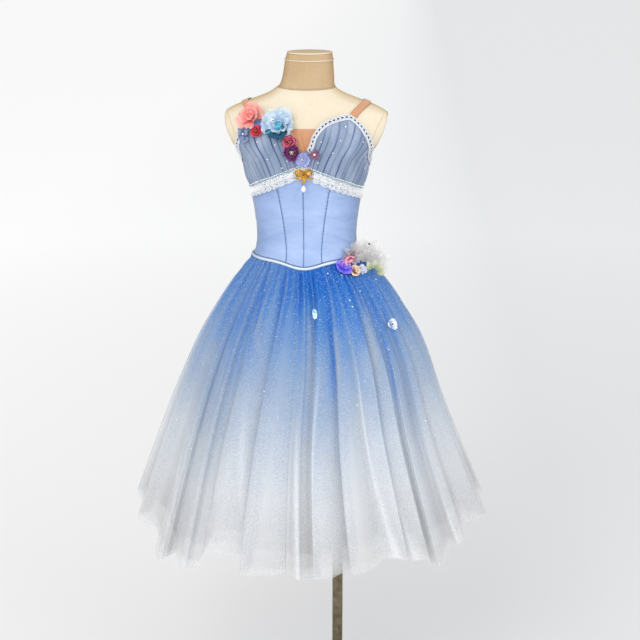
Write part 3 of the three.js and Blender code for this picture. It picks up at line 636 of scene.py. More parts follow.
def creaseDepth(angle, z):
    total = np.zeros_like(z)
    for at, level, length, tilt, wide, deep in satinCreases:
        x = wrapped(angle - at) * bodice["perDegree"]
        y = z - level
        t = math.radians(tilt)
        along = x * math.cos(t) + y * math.sin(t)
        across = -x * math.sin(t) + y * math.cos(t) + 0.0028 * along ** 2
        total += deep * bell(along / length) * (bell((across - wide * 0.7) / wide) * 0.55
                                                - bell(across / (wide * 0.8)))
    return total


def makeBodice():
    gap = bodice["gap"]
    panels = [("front", 46, lambda z: 0 * z + gap, lambda z: princess(z) - gap),
              ("side_front", 80, lambda z: princess(z) + gap, lambda z: 0 * z + 90 - gap),
              ("side_back", 66, lambda z: 0 * z + 90 + gap, lambda z: 0 * z + 148 - gap),
              ("back", 42, lambda z: 0 * z + 148 + gap, lambda z: 0 * z + 180 - gap)]
    for end, sign in twoSides:
        for part, columns, start, stop in panels:
            u, v = shares(columns, bodice["rows"])
            if sign < 0:
                u = 1 - u
            guess = blend(dress["waist"], 1300, v)
            angle = sign * blend(start(guess), stop(guess), u)
            low = waistLine(angle) + dress["pipingTall"] + 1
            z = blend(low, bodiceTop(angle) - dress["seam"], v)
            scale = perDegree(angle, z)
            edges = np.minimum(np.abs(angle - sign * start(guess)), np.abs(angle - sign * stop(guess)))
            fromSeam = edges * scale
            dip = bell(fromSeam / bodice["seamWide"])
            ripple = np.sin(2 * np.pi * z / bodice["puckerEvery"] + 2 * wander(z * 0.1, 3))
            ripple = ripple * bell(fromSeam / 8)
            out = bodice["wall"] - bodice["seamDip"] * dip + bodice["pucker"] * ripple
            ease = smooth((z - low) / 14) * smooth((bodiceTop(angle) - z) / 14)
            out = out + creaseDepth(angle, z) * ease * smooth(fromSeam / 5)
            points = clothPoint(angle, z, np.maximum(out, 1.3))
            uv = np.stack([angle * 0.0021, z * 0.001], -1)
            # painted shade along the seams, where the satin dips
            obj = clothGrid(f"satin_{part}_{end}", points, uv, thick=0.7,
                            attributes={"groove": 0.55 * bell(fromSeam / 1.3)})
            finishPiece(obj, satin, "satin", f"bodice_{part}_{end}")
    threads = Heap()
    for edge in (lambda z: 0 * z, princess, lambda z: 0 * z + 90, lambda z: 0 * z + 148):
        for sign in (-1, 1):
            z = np.linspace(0, 1, 90)
            angle = sign * edge(blend(dress["waist"], 1300, z))
            z = blend(waistLine(angle) + dress["pipingTall"] + 1, bodiceTop(angle) - 12, z)
            if sign > 0 or np.abs(angle).max() > 0.1:
                depth = bodice["wall"] - bodice["seamDip"] + 0.1 + 0.25 * np.sin(z * 0.7)
                threads.add(*tubeAlong(clothPoint(angle, z, depth), bodice["thread"], 5, guide=(0, 1, 0)))
    angle = allRound(360)
    z = waistLine(angle) + dress["pipingTall"] + 1.4
    path = clothPoint(angle, z, bodice["wall"] + 0.1 + 0 * z)
    threads.add(*tubeAlong(path, bodice["thread"], 5, closed=True))
    finishPiece(threads.make("bodice_seam_threads"), navyThread, "satin")


def makePiping():
    u, v = gridOf(allRound(360), np.linspace(0, 1, 12))
    z = waistLine(u) + dress["pipingTall"] * v
    out = (2.2 + 3.4 * np.sqrt(np.maximum(1 - (2 * v - 1) ** 2, 0))
           + 0.12 * np.sin(u * 1.7 + 2 * wander(u * 0.2, 5)))
    uv = pairs(np.linspace(0, 0.78, 361), np.linspace(0, 0.012, 12))
    obj = clothGrid("waist_roll", clothPoint(u, z, out), uv, closed=True, thick=0.6,
                    attributes={"groove": np.zeros_like(z)})
    finishPiece(obj, pipingSatinWithHighlight, "satin", "waist_piping")
    u, v = shares(14, 90)
    angle = placket["start"] + placket["turn"] * u
    z = blend(dress["waist"] + dress["pipingTall"] + dress["seam"], placket["top"], v)
    out = (placket["out"] + 0.25 * np.sin(z * 0.21 + wander(z * 0.05, 2)) * (u - 0.5)
           - 0.8 * bell((u - 0.08) / 0.06))
    uv = np.stack([angle * 0.0021, z * 0.001], -1)
    # painted shade along the placket's fold
    obj = clothGrid("satin_placket", clothPoint(angle, z, out), uv, thick=1.2,
                    attributes={"groove": 0.4 * bell((u - 0.1) / 0.03)})
    finishPiece(obj, satin, "satin", "back_placket")


print("bodice")
makeBodice()
makePiping()

# Cups, insert and straps

cups = {"columns": 240, "rows": 62, "wall": 4.5, "rise": 2.2}
# ruched pleats of one cup from its front edge to the side: place, half width and depth
pleatRows = [(0.035, 0.018, 0.5), (0.075, 0.016, 0.7), (0.12, 0.018, 0.7), (0.165, 0.014, 0.8),
             (0.21, 0.030, 0.9), (0.285, 0.020, 0.6), (0.335, 0.030, 1.0), (0.405, 0.020, 0.8),
             (0.45, 0.014, 0.6), (0.50, 0.030, 1.0), (0.575, 0.016, 0.7), (0.61, 0.020, 0.9),
             (0.66, 0.015, 0.9), (0.70, 0.013, 0.9), (0.74, 0.016, 1.1), (0.78, 0.012, 0.9),
             (0.815, 0.014, 1.2), (0.85, 0.011, 1.0), (0.88, 0.012, 1.2), (0.91, 0.010, 1.1),
             (0.94, 0.012, 1.3), (0.97, 0.010, 1.1)]


def pleatProfile(u, v, sign):
    # each pleat lies over to one side, with painted shade in the gutter under its steep side
    height, gutter = np.zeros_like(u), np.zeros_like(u)
    for k, (at, wide, deep) in enumerate(pleatRows):
        place = at + 0.005 * wander(v * 2.4, k + 0.4 * sign) + 0.005 * sign * math.sin(k * 2.1)
        life = 0.7 + 0.3 * wander(v * 2.2, k * 1.7 + sign)
        x = (u - place) / wide
        height += deep * life * np.where(x < 0, bell(x / 1.5), bell(x / 0.5))
        gutter += deep * life * bell((x - 0.95) * wide / 0.0062) * (0.6 + 0.6 * smooth((at - 0.6) / 0.3))
    return height, gutter


def tulleCupMaterial():
    # soft nylon tulle ruched over satin: matt grey-blue, with painted shade where it folds under
    material, shader, node = newMaterial("ruched nylon tulle")
    net = noise(node, 1.0, 2.0, (700, 700, 300))  # holes of about 1 mm
    cloud = noise(node, 1.0, 3.0, (30, 30, 13))
    tint = ramp(node, cloud, [(0.3, "7D8DA5"), (0.52, "909FB7"), (0.78, "ADB9CB")])
    speck = ramp(node, net, [(0.35, "DDE3EE"), (0.6, "FFFFFF")])
    cloth = mixed(node, 0.6, tint, speck, "MULTIPLY")
    # painted shade in the gutters under the pleats
    cloth = mixed(node, painted(node, "gutter"), cloth, "22346A")
    node(shader, {"Base Color": cloth, "Normal": bump(node, net, 0.0003, 0.4), "Roughness": 0.75,
                  "Specular IOR Level": 0.2, "Sheen Weight": 0.3})
    return material


def makeCups():
    tulle = tulleCupMaterial()
    edge = np.linspace(3, 96, 120)
    for end, sign in twoSides:
        u, v = shares(cups["columns"], cups["rows"])
        if sign < 0:
            u = 1 - u
        angle = blend(blend(0.3, 89.8, u ** 1.2), blend(0.3, 89.8, u ** 0.9), v)
        start = underBust(angle) - 8 + dress["seam"]
        z = blend(start, dressTop(angle), v)
        height, gutter = pleatProfile(u, v, sign)
        fromTop = np.min(np.hypot((edge - angle[..., None]) * 2.4, dressTop(edge) - z[..., None]), -1)
        ease = smooth((z - start - 3) / 14) * smooth((fromTop - 6) / 12)
        points = clothPoint(sign * angle, z, cups["wall"] + cups["rise"] * height * ease)
        uv = np.stack([sign * angle * 0.0026, z * 0.001], -1)
        shade = np.clip(gutter * 1.9, 0, 1) * (0.35 + 0.65 * ease)
        obj = clothGrid(f"ruched_cup_{end}", points, uv, thick=1.0, attributes={"gutter": shade})
        finishPiece(obj, tulle, "grey_tulle", f"cup_{end}")


def nudeMaterial():
    # powernet and covered elastic: matt knit with fine ribs across
    material, shader, node = newMaterial("nude powernet")
    place = node("ShaderNodeUVMap", uv_map="UVMap")
    rib = node("ShaderNodeTexWave", {"Vector": place, "Scale": 130.0, "Distortion": 1.0, "Detail": 1.0},
               bands_direction="Y")  # ribs 1.2 mm apart
    tint = ramp(node, rib, [(0.2, "C08A66"), (0.8, "D09C79")])
    # painted shade in the insert's crease; the straps darker along both edges
    cloth = mixed(node, painted(node, "crease"), tint, "A8693C")
    node(shader, {"Base Color": cloth, "Normal": bump(node, (rib, "Fac"), 0.0003, 0.4), "Roughness": 0.8,
                  "Specular IOR Level": 0.2, "Sheen Weight": 0.2})
    return material


def seated(points):
    # the nearest places of the form to points near it, and its normals there
    q = np.array(points, float)

    def level(p):
        row = rowAt(formRows, "z", p[..., 2])
        wide = p[..., 0] / (row["side"] * row["plate"])
        deep = p[..., 1] / np.where(p[..., 1] < 0, row["front"], row["back"])
        reach = np.hypot(wide, deep)
        angle = np.degrees(np.arctan2(wide, -deep))
        return reach - 1 - bustRise(angle, p[..., 2]) * reach / np.hypot(p[..., 0], p[..., 1])
    for _ in range(12):
        here = level(q)
        slope = np.stack([(level(q + step) - here) / 0.1 for step in np.eye(3) * 0.1], -1)
        q -= slope * (here / np.sum(slope ** 2, -1))[..., None]
    return q, unit(slope)


insert = {"half": 12, "point": 1374, "slope": 2.6, "top": 1435}
# the middle of one strap, from the cup over the shoulder to the back
strapRoute = [(101, -88, 1447), (116, -66, 1466), (137, -32, 1484), (143, 2, 1488), (137, 46, 1478),
              (125, 76, 1456), (112, 94, 1410), (104, 98, 1360), (99, 86, 1320)]


def makeNudePieces():
    nude = nudeMaterial()
    u, v = shares(40, 30)
    angle = blend(-insert["half"], insert["half"], u)
    z = blend(insert["point"] + insert["slope"] * np.abs(angle), insert["top"], v)
    fold = angle + 1.2 + (z - 1422) * 0.09  # a crease that runs down to the point of the neckline
    out = 1.6 + 0.8 * bell((fold + 1.3) / 1.4) - 0.6 * bell(fold / 0.8)
    uv = np.stack([angle * 0.0019, z * 0.001], -1)
    # painted shade along the crease
    obj = clothGrid("nude_insert_cloth", clothPoint(angle, z, out), uv, thick=0.6,
                    attributes={"crease": 0.6 * bell(fold / 0.45) * smooth((1432 - z) / 20)})
    finishPiece(obj, nude, "nude_mesh", "neck_insert")
    route = np.array(strapRoute, float)
    run = runAlong(route)
    table = {"s": run, "x": route[:, 0], "y": route[:, 1], "z": route[:, 2]}
    s = np.linspace(0, run[-1], 110)
    row = rowAt(table, "s", s)
    middle, normal = seated(np.stack([row["x"], row["y"], row["z"]], -1))
    across = unit(np.cross(normal, np.gradient(middle, axis=0)))
    v = np.linspace(-1, 1, 9)
    grid, normals = seated(middle[:, None] + across[:, None] * v[None, :, None] * 8)
    for end, sign in twoSides:
        points = grid + normals * (2.2 - 0.35 * np.abs(v) ** 4)[None, :, None]
        points = points * (sign, 1, 1)
        uv = np.stack(gridOf(s * 0.001, v * 0.008)[::-1], -1)
        # the straps darker along both edges
        crease = np.repeat((np.abs(v) > 0.9)[None, :] * 0.45, len(s), 0).astype(float)
        if sign > 0:
            points, uv, crease = points[:, ::-1], uv[:, ::-1], crease[:, ::-1]
        obj = clothGrid(f"elastic_strap_{end}", points, uv, thick=1.1, attributes={"crease": crease})
        finishPiece(obj, nude, "nude_mesh", f"strap_{end}")


print("cups, insert and straps")
makeCups()
makeNudePieces()

# Braid and lace

braid = {"out": 6.9, "link": 10.2, "cord": 0.62, "picot": 4.8}


def insideEdge(at, inset):
    # distance in from the top edge turned into a place on the cloth
    step = 0.6
    scale = perDegree(at, dressTop(at))
    run = 2 * step * scale
    rise = dressTop(at + step) - dressTop(at - step)
    size = np.hypot(run, rise)
    return at + inset * rise / size / scale, dressTop(at) - inset * run / size


def braidTapeMaterial():
    # metallic braid ground of viscose with silver threads: white with small glints
    material, shader, node = newMaterial("silver viscose braid")
    grain = cells(node, 700.0)
    tint = ramp(node, grain, [(0.1, "5E6D8A"), (0.35, "A3B1C4"), (0.7, "E4EAF0")])
    cloth = mixed(node, painted(node, "eyelet"), tint, "2C3759")
    node(shader, {"Base Color": cloth, "Normal": bump(node, grain, 0.0004, 0.7), "Roughness": 0.5,
                  "Specular IOR Level": 0.4})
    return material


def makeBraid():
    tape = braidTapeMaterial()
    ats = np.linspace(3.4, 179, 2600)
    angle, z = insideEdge(ats, 4.0)
    run = runAlong(clothPoint(angle, z, 7))
    s = np.arange(0, run[-1], 0.9)
    at = np.interp(s, run, ats)
    for end, sign in twoSides:
        a, grid = gridOf(at[::2], np.linspace(-1.0, 9.3, 9))
        angle, z = insideEdge(a, grid)
        sGrid = np.repeat(s[::2, None], 9, 1)
        eyelet = np.hypot(((sGrid / braid["link"]) % 1 - 0.5) / 0.36, (grid - 3.6) / 2.7)
        points = clothPoint(sign * angle, z, 6.0 + 0.25 * np.sin(sGrid * 0.8))
        uv = np.stack([sGrid * 0.001, grid * 0.001], -1)
        if sign > 0:
            points, uv, eyelet = points[:, ::-1], uv[:, ::-1], eyelet[:, ::-1]
        obj = clothGrid(f"braid_tape_{end}", points, uv, thick=0.5,
                        attributes={"eyelet": 1 - smooth((eyelet - 0.75) / 0.5)})
        finishPiece(obj, tape, "braid", f"trim_{end}")
        cords = Heap()
        turn = np.pi * s / braid["link"]
        lines = [(3.6 + 2.6 * np.sin(turn), 0.5 * np.cos(turn), braid["cord"]),
                 (3.6 - 2.6 * np.sin(turn), -0.5 * np.cos(turn), braid["cord"]),
                 (7.6 + 0.15 * np.sin(s * 2.1), 0.2 + 0 * s, 0.6),
                 (9.4 + 0.1 * np.sin(s * 1.3), -0.1 + 0 * s, 0.55),
                 (-0.6 - 1.3 * np.abs(np.sin(np.pi * s / braid["picot"])), 0.1 + 0 * s, 0.5)]
        for inset, lift, radius in lines:
            angle, z = insideEdge(at, inset)
            path = clothPoint(sign * angle, z, braid["out"] + lift)
            cords.add(*tubeAlong(path, radius, 5, guide=formNormal(sign * angle, z)))
        finishPiece(cords.make(f"braid_cords_{end}"), whiteCord, "braid")


lace = {"scallops": 24, "span": 92, "cord": 0.75, "out": 6.2, "beadEvery": 3.6}


def lacePoint(angle, down, out):
    return clothPoint(angle, underBust(angle) + 2 - down, out + 0 * np.asarray(down, float))


def laceNetMaterial():
    # cotton guipure on a nylon net: white threads with open holes, drawn about 5 mm apart so that
    # they show, and the cloth below seen through them
    material, shader, node = newMaterial("cotton lace net")
    thread = ramp(node, cells(node, 190.0, feature="DISTANCE_TO_EDGE"), [(0.11, 1.0), (0.17, 0.0)])
    tint = ramp(node, noise(node, 130.0, 2.0), [(0.35, "CBD6E0"), (0.6, "F8FAFC")])
    solid = worked(node, "ADD", thread, painted(node, "dense"), use_clamp=True)
    node(shader, {"Base Color": tint, "Alpha": solid, "Roughness": 0.8, "Specular IOR Level": 0.2})
    return material


def modelBead():
    # one bead of radius 1, with few faces
    return meshOf(turned("bead", 8, [(math.sin(math.radians(a)), -math.cos(math.radians(a)))
                                     for a in (14, 42, 68, 90, 112, 138, 166)]))


def makeLace(bead):
    net = laceNetMaterial()
    u, v = gridOf(np.linspace(-1, 1, 480), np.linspace(1, 0, 20))
    angle = lace["span"] * u
    dip = np.abs(np.sin(np.pi * lace["scallops"] * (u + 1) / 2))
    down = (26.5 + 4 * dip) * v
    points = lacePoint(angle, down, 5.5 + 0.5 * np.sin(angle * 1.9) * v)
    uv = np.stack([angle * 0.0024, -down * 0.001], -1)
    dense = 0.35 * bell((down - 6) / 3.5)
    obj = clothGrid("lace_net", points, uv, attributes={"dense": dense})
    finishPiece(obj, net, "braid", "lace_band")
    cords = Heap()
    spread = 2 * lace["span"] / lace["scallops"]
    turn = np.linspace(0, 2 * np.pi, 22)[:-1]
    for k in range(lace["scallops"]):
        middle = -lace["span"] + spread * (k + 0.5)
        scale = float(perDegree(middle, underBust(middle) - 12))
        half = spread * scale / 2
        sway = 1 if k % 2 else -1
        loops = [(0, 20.5, 0.62 * half, 5.2), (0, 20.5, 0.28 * half, 2.2),
                 (-0.52 * half, 12.2, 0.33 * half, 2.9), (0.52 * half, 12.2, 0.33 * half, 2.9),
                 (0.1 * half * sway, 13.4, 0.2 * half, 3.6)]
        for x, d, wide, tall in loops:
            a = middle + (x + wide * np.cos(turn)) / scale
            path = lacePoint(a, d + tall * np.sin(turn), lace["out"] + 0.4)
            cords.add(*tubeAlong(path, lace["cord"] + 0.1, 5, closed=True, guide=formNormal(a, underBust(a))))
        for part in range(5):  # a small flower between the loops
            around, lean = turn[::3], part * 1.2566 + k
            x = 3.0 * math.cos(lean) + 1.5 * np.cos(around) + half * 0.95
            d = 17.5 + 2.6 * math.sin(lean) + 1.3 * np.sin(around)
            a = middle + x / scale
            if abs(a).max() < lace["span"]:
                path = lacePoint(a, d, lace["out"] + 0.7)
                cords.add(*tubeAlong(path, 0.5, 4, closed=True, guide=formNormal(a, underBust(a))))
    a = np.linspace(-lace["span"], lace["span"], 900)
    u = (a / lace["span"] + 1) / 2
    dip = np.abs(np.sin(np.pi * lace["scallops"] * u))
    fine = np.abs(np.sin(np.pi * lace["scallops"] * 4 * u))
    for down, radius in ((25.2 + 3.6 * dip, 0.75), (27.0 + 3.4 * dip + 1.1 * fine, 0.45),
                         (9.2 + 0.5 * np.sin(u * 300), 0.6), (14.8 + 2.4 * np.sin(u * np.pi * 48), 0.5),
                         (7.2 + 1.3 * np.sin(u * np.pi * 96), 0.4)):
        path = lacePoint(a, down, lace["out"] + 0.3)
        cords.add(*tubeAlong(path, radius, 5, guide=formNormal(a, underBust(a))))
    finishPiece(cords.make("lace_scrolls"), whiteCord, "braid")
    run = runAlong(lacePoint(a, 1.5, 6))
    for name, down, radius, material, shift in (("lace_beads_silver", 0.8, 1.4, silverSequin, 0.0),
                                                ("lace_beads_teal", 3.7, 1.1, tealFoil, 0.5)):
        heap = Heap()
        for s in np.arange(shift * lace["beadEvery"], run[-1], lace["beadEvery"]):
            at = float(np.interp(s, run, a))
            size = radius * (1 + 0.12 * math.sin(s * 3.3))
            spot = lacePoint(at, down + 0.3 * math.sin(s * 1.9), lace["out"] + 0.6)
            heap.add(bead[0] * size + spot, bead[1])
        finishPiece(heap.make(name), material, "braid")


print("braid and lace")
bead = modelBead()
makeBraid()
makeLace(bead)

# Skirt

skirtRows = columnsOf(("t", "side", "front", "back", "shift"), [
    (0, 135, 98, 101, 0), (0.05, 157, 123, 127, 4), (0.087, 178, 146, 150, 7), (0.174, 215, 186, 190, 9),
    (0.33, 269, 237, 241, 9), (0.575, 327, 294, 298, 3), (0.76, 370, 339, 343, 4), (1, 426, 392, 396, 8)])
# folds of the front half: crest, depth at the hem, hem height, breadth of the crest, lean to one side
frontFolds = [
    (-84, 14, 18, 0.2, -0.5), (-70, 17, -4, 0.3, -0.8), (-54, 17, -56, 0.1, 0.9), (-41, 14, -40, -0.4, 0.7),
    (-27, 17, 22, 0.3, -0.6), (-11, 18, -16, 0.7, -1.2), (0, 10, -18, -0.8, 0.2), (9, 13, -14, 0.3, -1.3),
    (20.5, 17, -4, 0.5, -0.9), (33, 14, 6, -0.7, 0.6), (41.5, 11, -8, -0.6, 0.7), (50, 13, -42, 0.4, -0.8),
    (60, 13, -8, 0.3, -0.9), (73, 16, 16, 0.3, 0.9), (85, 20, -26, 0.0, 0.5)]
foldRows = columnsOf(("at", "deep", "hem", "broad", "lean"),
                     frontFolds + [(180 + row[0], *row[1:]) for row in frontFolds])
halfFolds = len(frontFolds)
skirt = {"columnsPerFold": 30, "rows": 48, "power": 1.35, "leave": 0.035, "overlap": 1.55,
         "gathers": (71, 49), "gatherDeep": 2.9, "gatherAt": 0.05, "gatherRun": 0.17, "smallDeep": 1.8,
         "middleDeep": 1.6}
# tulle layers: how far set in at the hem, share of the folds' depth, seat at the waist, how much shorter,
# opacity and turn of the folds
tulleLayers = [
    {"name": "glitter", "inward": -2, "share": 1.0, "seat": 4.6, "drop": 0, "alpha": 0.44, "turn": 0.0},
    {"name": "soft", "inward": 5, "share": 0.85, "seat": 3.6, "drop": 7, "alpha": 0.42, "turn": 0.5},
    {"name": "plain", "inward": 13, "share": 0.7, "seat": 2.8, "drop": 16, "alpha": 0.5, "turn": -0.6}]
underLayer = {"name": "under", "inward": 40, "share": 0.55, "seat": 2.2, "drop": 40, "alpha": 0.96,
              "turn": 0.9}


def foldAt(number):
    count = len(foldRows["at"])
    i = np.floor(number).astype(int) % count
    k = (i + 1) % count
    s = number - np.floor(number)
    at = foldRows["at"]
    found = {"angle": blend(at[i], np.where(k == 0, at[0] + 360, at[k]), s), "phase": 2 * np.pi * s}
    for name in ("deep", "broad", "lean"):
        found[name] = blend(foldRows[name][i], foldRows[name][k], smooth(s))
    found["hem"] = blend(foldRows["hem"][i], foldRows["hem"][k], smooth((s - 0.35) / 0.3))
    return found


def skirtPoint(number, t, layer, out=0.0):
    fold = foldAt(number)
    seed = layer["seat"]
    phase = fold["phase"] + layer["turn"] * wander(number * 0.9, seed)
    wave = np.cos(phase - fold["broad"] * np.sin(phase))
    turns = number / len(foldRows["at"]) * 2 * np.pi
    # gathers crowd at the waist and run out down the skirt, and small folds grow towards the hem
    many, few = (turns * waves for waves in skirt["gathers"])
    gather = np.sin(many + 0.3 * seed + 1.2 * np.sin(turns * 5)) + 0.6 * np.sin(few + 0.3 * seed + 1)
    gathers = gather * skirt["gatherDeep"] * bell((t - skirt["gatherAt"]) / skirt["gatherRun"])
    small = (np.sin(many + 3.3 * seed) + np.sin(few + 1.7 * seed)) * t ** 0.8 * skirt["smallDeep"]
    middle = np.sin(turns * 58 + 2 * seed) + 0.6 * np.sin(turns * 97 + seed)
    middle = middle * bell((t - 0.25) / 0.2) * skirt["middleDeep"]
    depth = fold["deep"] * layer["share"] * t ** 0.7
    swell = depth * wave + small + middle + gathers * smooth(t / 0.015)
    row = rowAt(skirtRows, "t", t)
    # leaning folds lie over their neighbours, so that the tulle is double there
    slide = skirt["overlap"] * fold["lean"] * depth * wave * smooth(t / 0.2)
    angle = fold["angle"] + np.degrees(slide / (0.5 * (row["side"] + row["front"])))
    s, c = sineCosine(angle)
    top = waistLine(fold["angle"]) - dress["seam"]
    ragged = (1.6 * np.sin(turns * 63 + seed) + 1.1 * np.sin(turns * 141 + seed)
              + 0.8 * np.sin(turns * 211 + seed))
    hem = dress["hem"] + fold["hem"] + layer["drop"] + ragged + 5 * wander(number * 2.1, seed + 1)
    z = blend(top, hem, t)
    reach = swell - layer["inward"] * t ** 0.5 + out
    x = (row["side"] + reach) * s + row["shift"]
    y = -(np.where(c > 0, row["front"], row["back"]) + reach) * c
    atWaist = clothPoint(fold["angle"], top, layer["seat"] + out + gathers * 0.4)
    leave = smooth(t / skirt["leave"])
    x = blend(atWaist[..., 0], x, leave)
    y = blend(atWaist[..., 1], y, leave)
    return np.stack([x, y, z], -1), gather


# veils where a thin layer shows the pale net below, and lines where folds crowd and the dye is deep, with
# painted shade between the folds:
# place at the start, place at the end, start and end down the skirt, half width, strength
veilRows = [(-31, -22.5, 0.08, 0.34, 1.8, 0.9), (4.5, 6, 0.10, 0.55, 2.2, 1.0),
            (20, 17, 0.17, 0.46, 1.9, 0.8), (44, 33.5, 0.10, 0.50, 2.6, 1.0),
            (-2.4, -2.4, 0.45, 1.1, 1.0, 0.8), (3.8, 3.2, 0.5, 1.1, 2.6, 0.8),
            (26.5, 26, 0.4, 1.1, 3.0, 0.8), (44.5, 44.5, 0.35, 1.1, 2.0, 0.8),
            (-33, -33, 0.4, 1.1, 4, 0.6), (-62, -62, 0.25, 1.1, 4, 0.6), (68, 68, 0.2, 1.1, 4, 0.5),
            (-80, -80, 0.2, 1.1, 4, 0.5), (82, 82, 0.2, 1.1, 4, 0.5), (12.5, 12.5, 0.55, 1.1, 1.4, 0.5),
            (-19, -19, 0.3, 0.6, 2, 0.4)]
inkAndShadeRows = [(-36, -25, 0.03, 0.38, 1.6, 0.9), (-13.5, -10.5, 0.0, 0.22, 1.2, 0.9),
           (-3.8, -4.5, 0.0, 0.24, 1.9, 0.9), (15.5, 13, 0.0, 0.48, 1.3, 1.0),
           (11, 10.5, 0.0, 0.2, 0.9, 0.7), (36, 31.5, 0.0, 0.32, 2.6, 0.85),
           (52, 45.5, 0.04, 0.55, 1.3, 0.9), (-22, -18, 0.0, 0.2, 1.1, 0.6),
           (-50, -42, 0.03, 0.4, 1.4, 0.5), (25, 23, 0.0, 0.25, 1.1, 0.7), (62, 58, 0.0, 0.35, 1.4, 0.7),
           (-65, -60, 0.03, 0.3, 1.4, 0.4), (75, 72, 0.0, 0.3, 1.5, 0.5)]
# painted highlights along folded edges, where the net also lies denser, in the same order
edgeHighlightRows = [(-24, -19.3, 0.36, 1.1, 0.6, 0.5), (-1.3, 0, 0.4, 1.1, 0.55, 0.75),
            (10.5, 6.8, 0.2, 1.1, 0.6, 0.45), (15, 15.5, 0.35, 1.1, 0.6, 0.6),
            (26.3, 32, 0.2, 1.1, 0.6, 0.75), (35.3, 40.5, 0.3, 1.1, 0.55, 0.7),
            (47.8, 47.8, 0.36, 1.1, 0.55, 0.6), (54.3, 61.5, 0.34, 1.1, 0.6, 0.5),
            (-67, -46.3, 0.26, 1.1, 0.6, 0.35), (-39.8, -39.8, 0.6, 1.1, 0.6, 0.4),
            (-34.8, -34.8, 0.6, 1.1, 0.6, 0.4)]
# how deep the dye is and how much further up it ends, by the place round the front or the back
dyeRows = columnsOf(("at", "deep", "run"), [
    (-90, 0.35, 0.03), (-60, 0.25, 0.02), (-45, 0.2, -0.01), (-30, 0.3, -0.03), (-12, 0.5, 0.0),
    (0, 0.9, 0.0), (12, 1.0, -0.02), (22, 0.85, 0.0), (32, 0.95, 0.0), (45, 0.75, 0.0), (60, 0.6, 0.0),
    (90, 0.45, 0.03)])


def streaks(rows, near, t, fade=0.07):
    total = np.zeros_like(t)
    for at, to, start, stop, wide, strength in rows:
        place = blend(at, to, (t - start) / (stop - start))
        life = smooth((t - start) / fade + (1 if start == 0 else 0)) * smooth((stop - t) / 0.14)
        total = np.maximum(total, strength * bell((near - place) / wide) * life)
    return total


# the tulle's colours from waist to hem: deep dye, thin dye, veils, and ink lines of deep dye with painted
# shade
tulleDyes = {
    "strong": [(0.0, "0C78DA"), (0.07, "2484DE"), (0.14, "5C9ADF"), (0.22, "86AEDD"), (0.33, "A3BEDE"),
               (0.43, "B5C9E3"), (0.53, "CDD9EA"), (0.63, "DFE6F0"), (0.75, "ECEEF2"), (0.88, "E7E8EA"),
               (1.0, "DBDCDC")],
    "weak": [(0.0, "7CA6D6"), (0.1, "7DA5D8"), (0.17, "84A9DA"), (0.235, "8DB0DC"), (0.33, "A4BCDD"),
             (0.43, "BACADF"), (0.53, "CBD6E4"), (0.63, "DEE4EA"), (0.75, "EAECF0"), (0.88, "E6E7E9"),
             (1.0, "D9D9D9")],
    "veil": [(0.0, "86A8D4"), (0.15, "A6BCD8"), (0.3, "C2CCD8"), (0.5, "D6DCE2"), (0.75, "E6E8EA"),
             (1.0, "DADADA")],
    "ink": [(0.0, "1267CC"), (0.14, "2272D2"), (0.28, "4C8ADA"), (0.42, "7EA8E4"), (0.56, "BACDEC"),
            (0.75, "DCE3EE")]}


def tulleMaterial(name, layer, glitter):
    # nylon tulle dyed by hand from blue at the waist to white at the hem: matt and sheer
    material, shader, node = newMaterial(name)
    marks = {key: painted(node, key) for key in ("dye", "deep", "veil", "ink", "edge", "fray")}
    drift = node("ShaderNodeMapRange", {"Value": noise(node, 8.0, 3.0), "From Min": 0.3, "From Max": 0.7,
                                        "To Min": -0.035, "To Max": 0.035})
    drop = worked(node, "ADD", marks["dye"], drift)
    tints = {key: ramp(node, drop, stops) for key, stops in tulleDyes.items()}
    cloth = mixed(node, marks["deep"], tints["weak"], tints["strong"])
    # the ink lines: deeper dye where folds crowd, with painted shade in the valleys
    for key in ("veil", "ink"):
        cloth = mixed(node, marks[key], cloth, tints[key])
    # painted highlight along folded edges, over a denser net
    cloth = mixed(node, worked(node, "MULTIPLY", marks["edge"], 0.85), cloth, "F6F8FB")
    # glitter dust, drawn as dots of 1.6 mm about 4 mm apart so that it shows
    dust = ramp(node, cells(node, 250.0), [(0.16, glitter), (0.28, 0.0)])
    cloth = mixed(node, dust, cloth, "FFFFFF")
    grain = ramp(node, noise(node, 430.0, 1.0), [(0.38, "CFD7E2"), (0.56, "FFFFFF")])
    cloth = mixed(node, glitter, cloth, grain, "MULTIPLY")
    solid = layer["alpha"] + 0.04
    for key, change in (("veil", -0.1), ("ink", 0.3), ("edge", 0.3)):
        solid = worked(node, "MULTIPLY_ADD", marks[key], change, solid)
    solid = worked(node, "MULTIPLY_ADD", marks["fray"], -0.06, solid, use_clamp=True)
    node(shader, {"Base Color": cloth, "Alpha": solid, "Roughness": 0.62, "Specular IOR Level": 0.2})
    return material


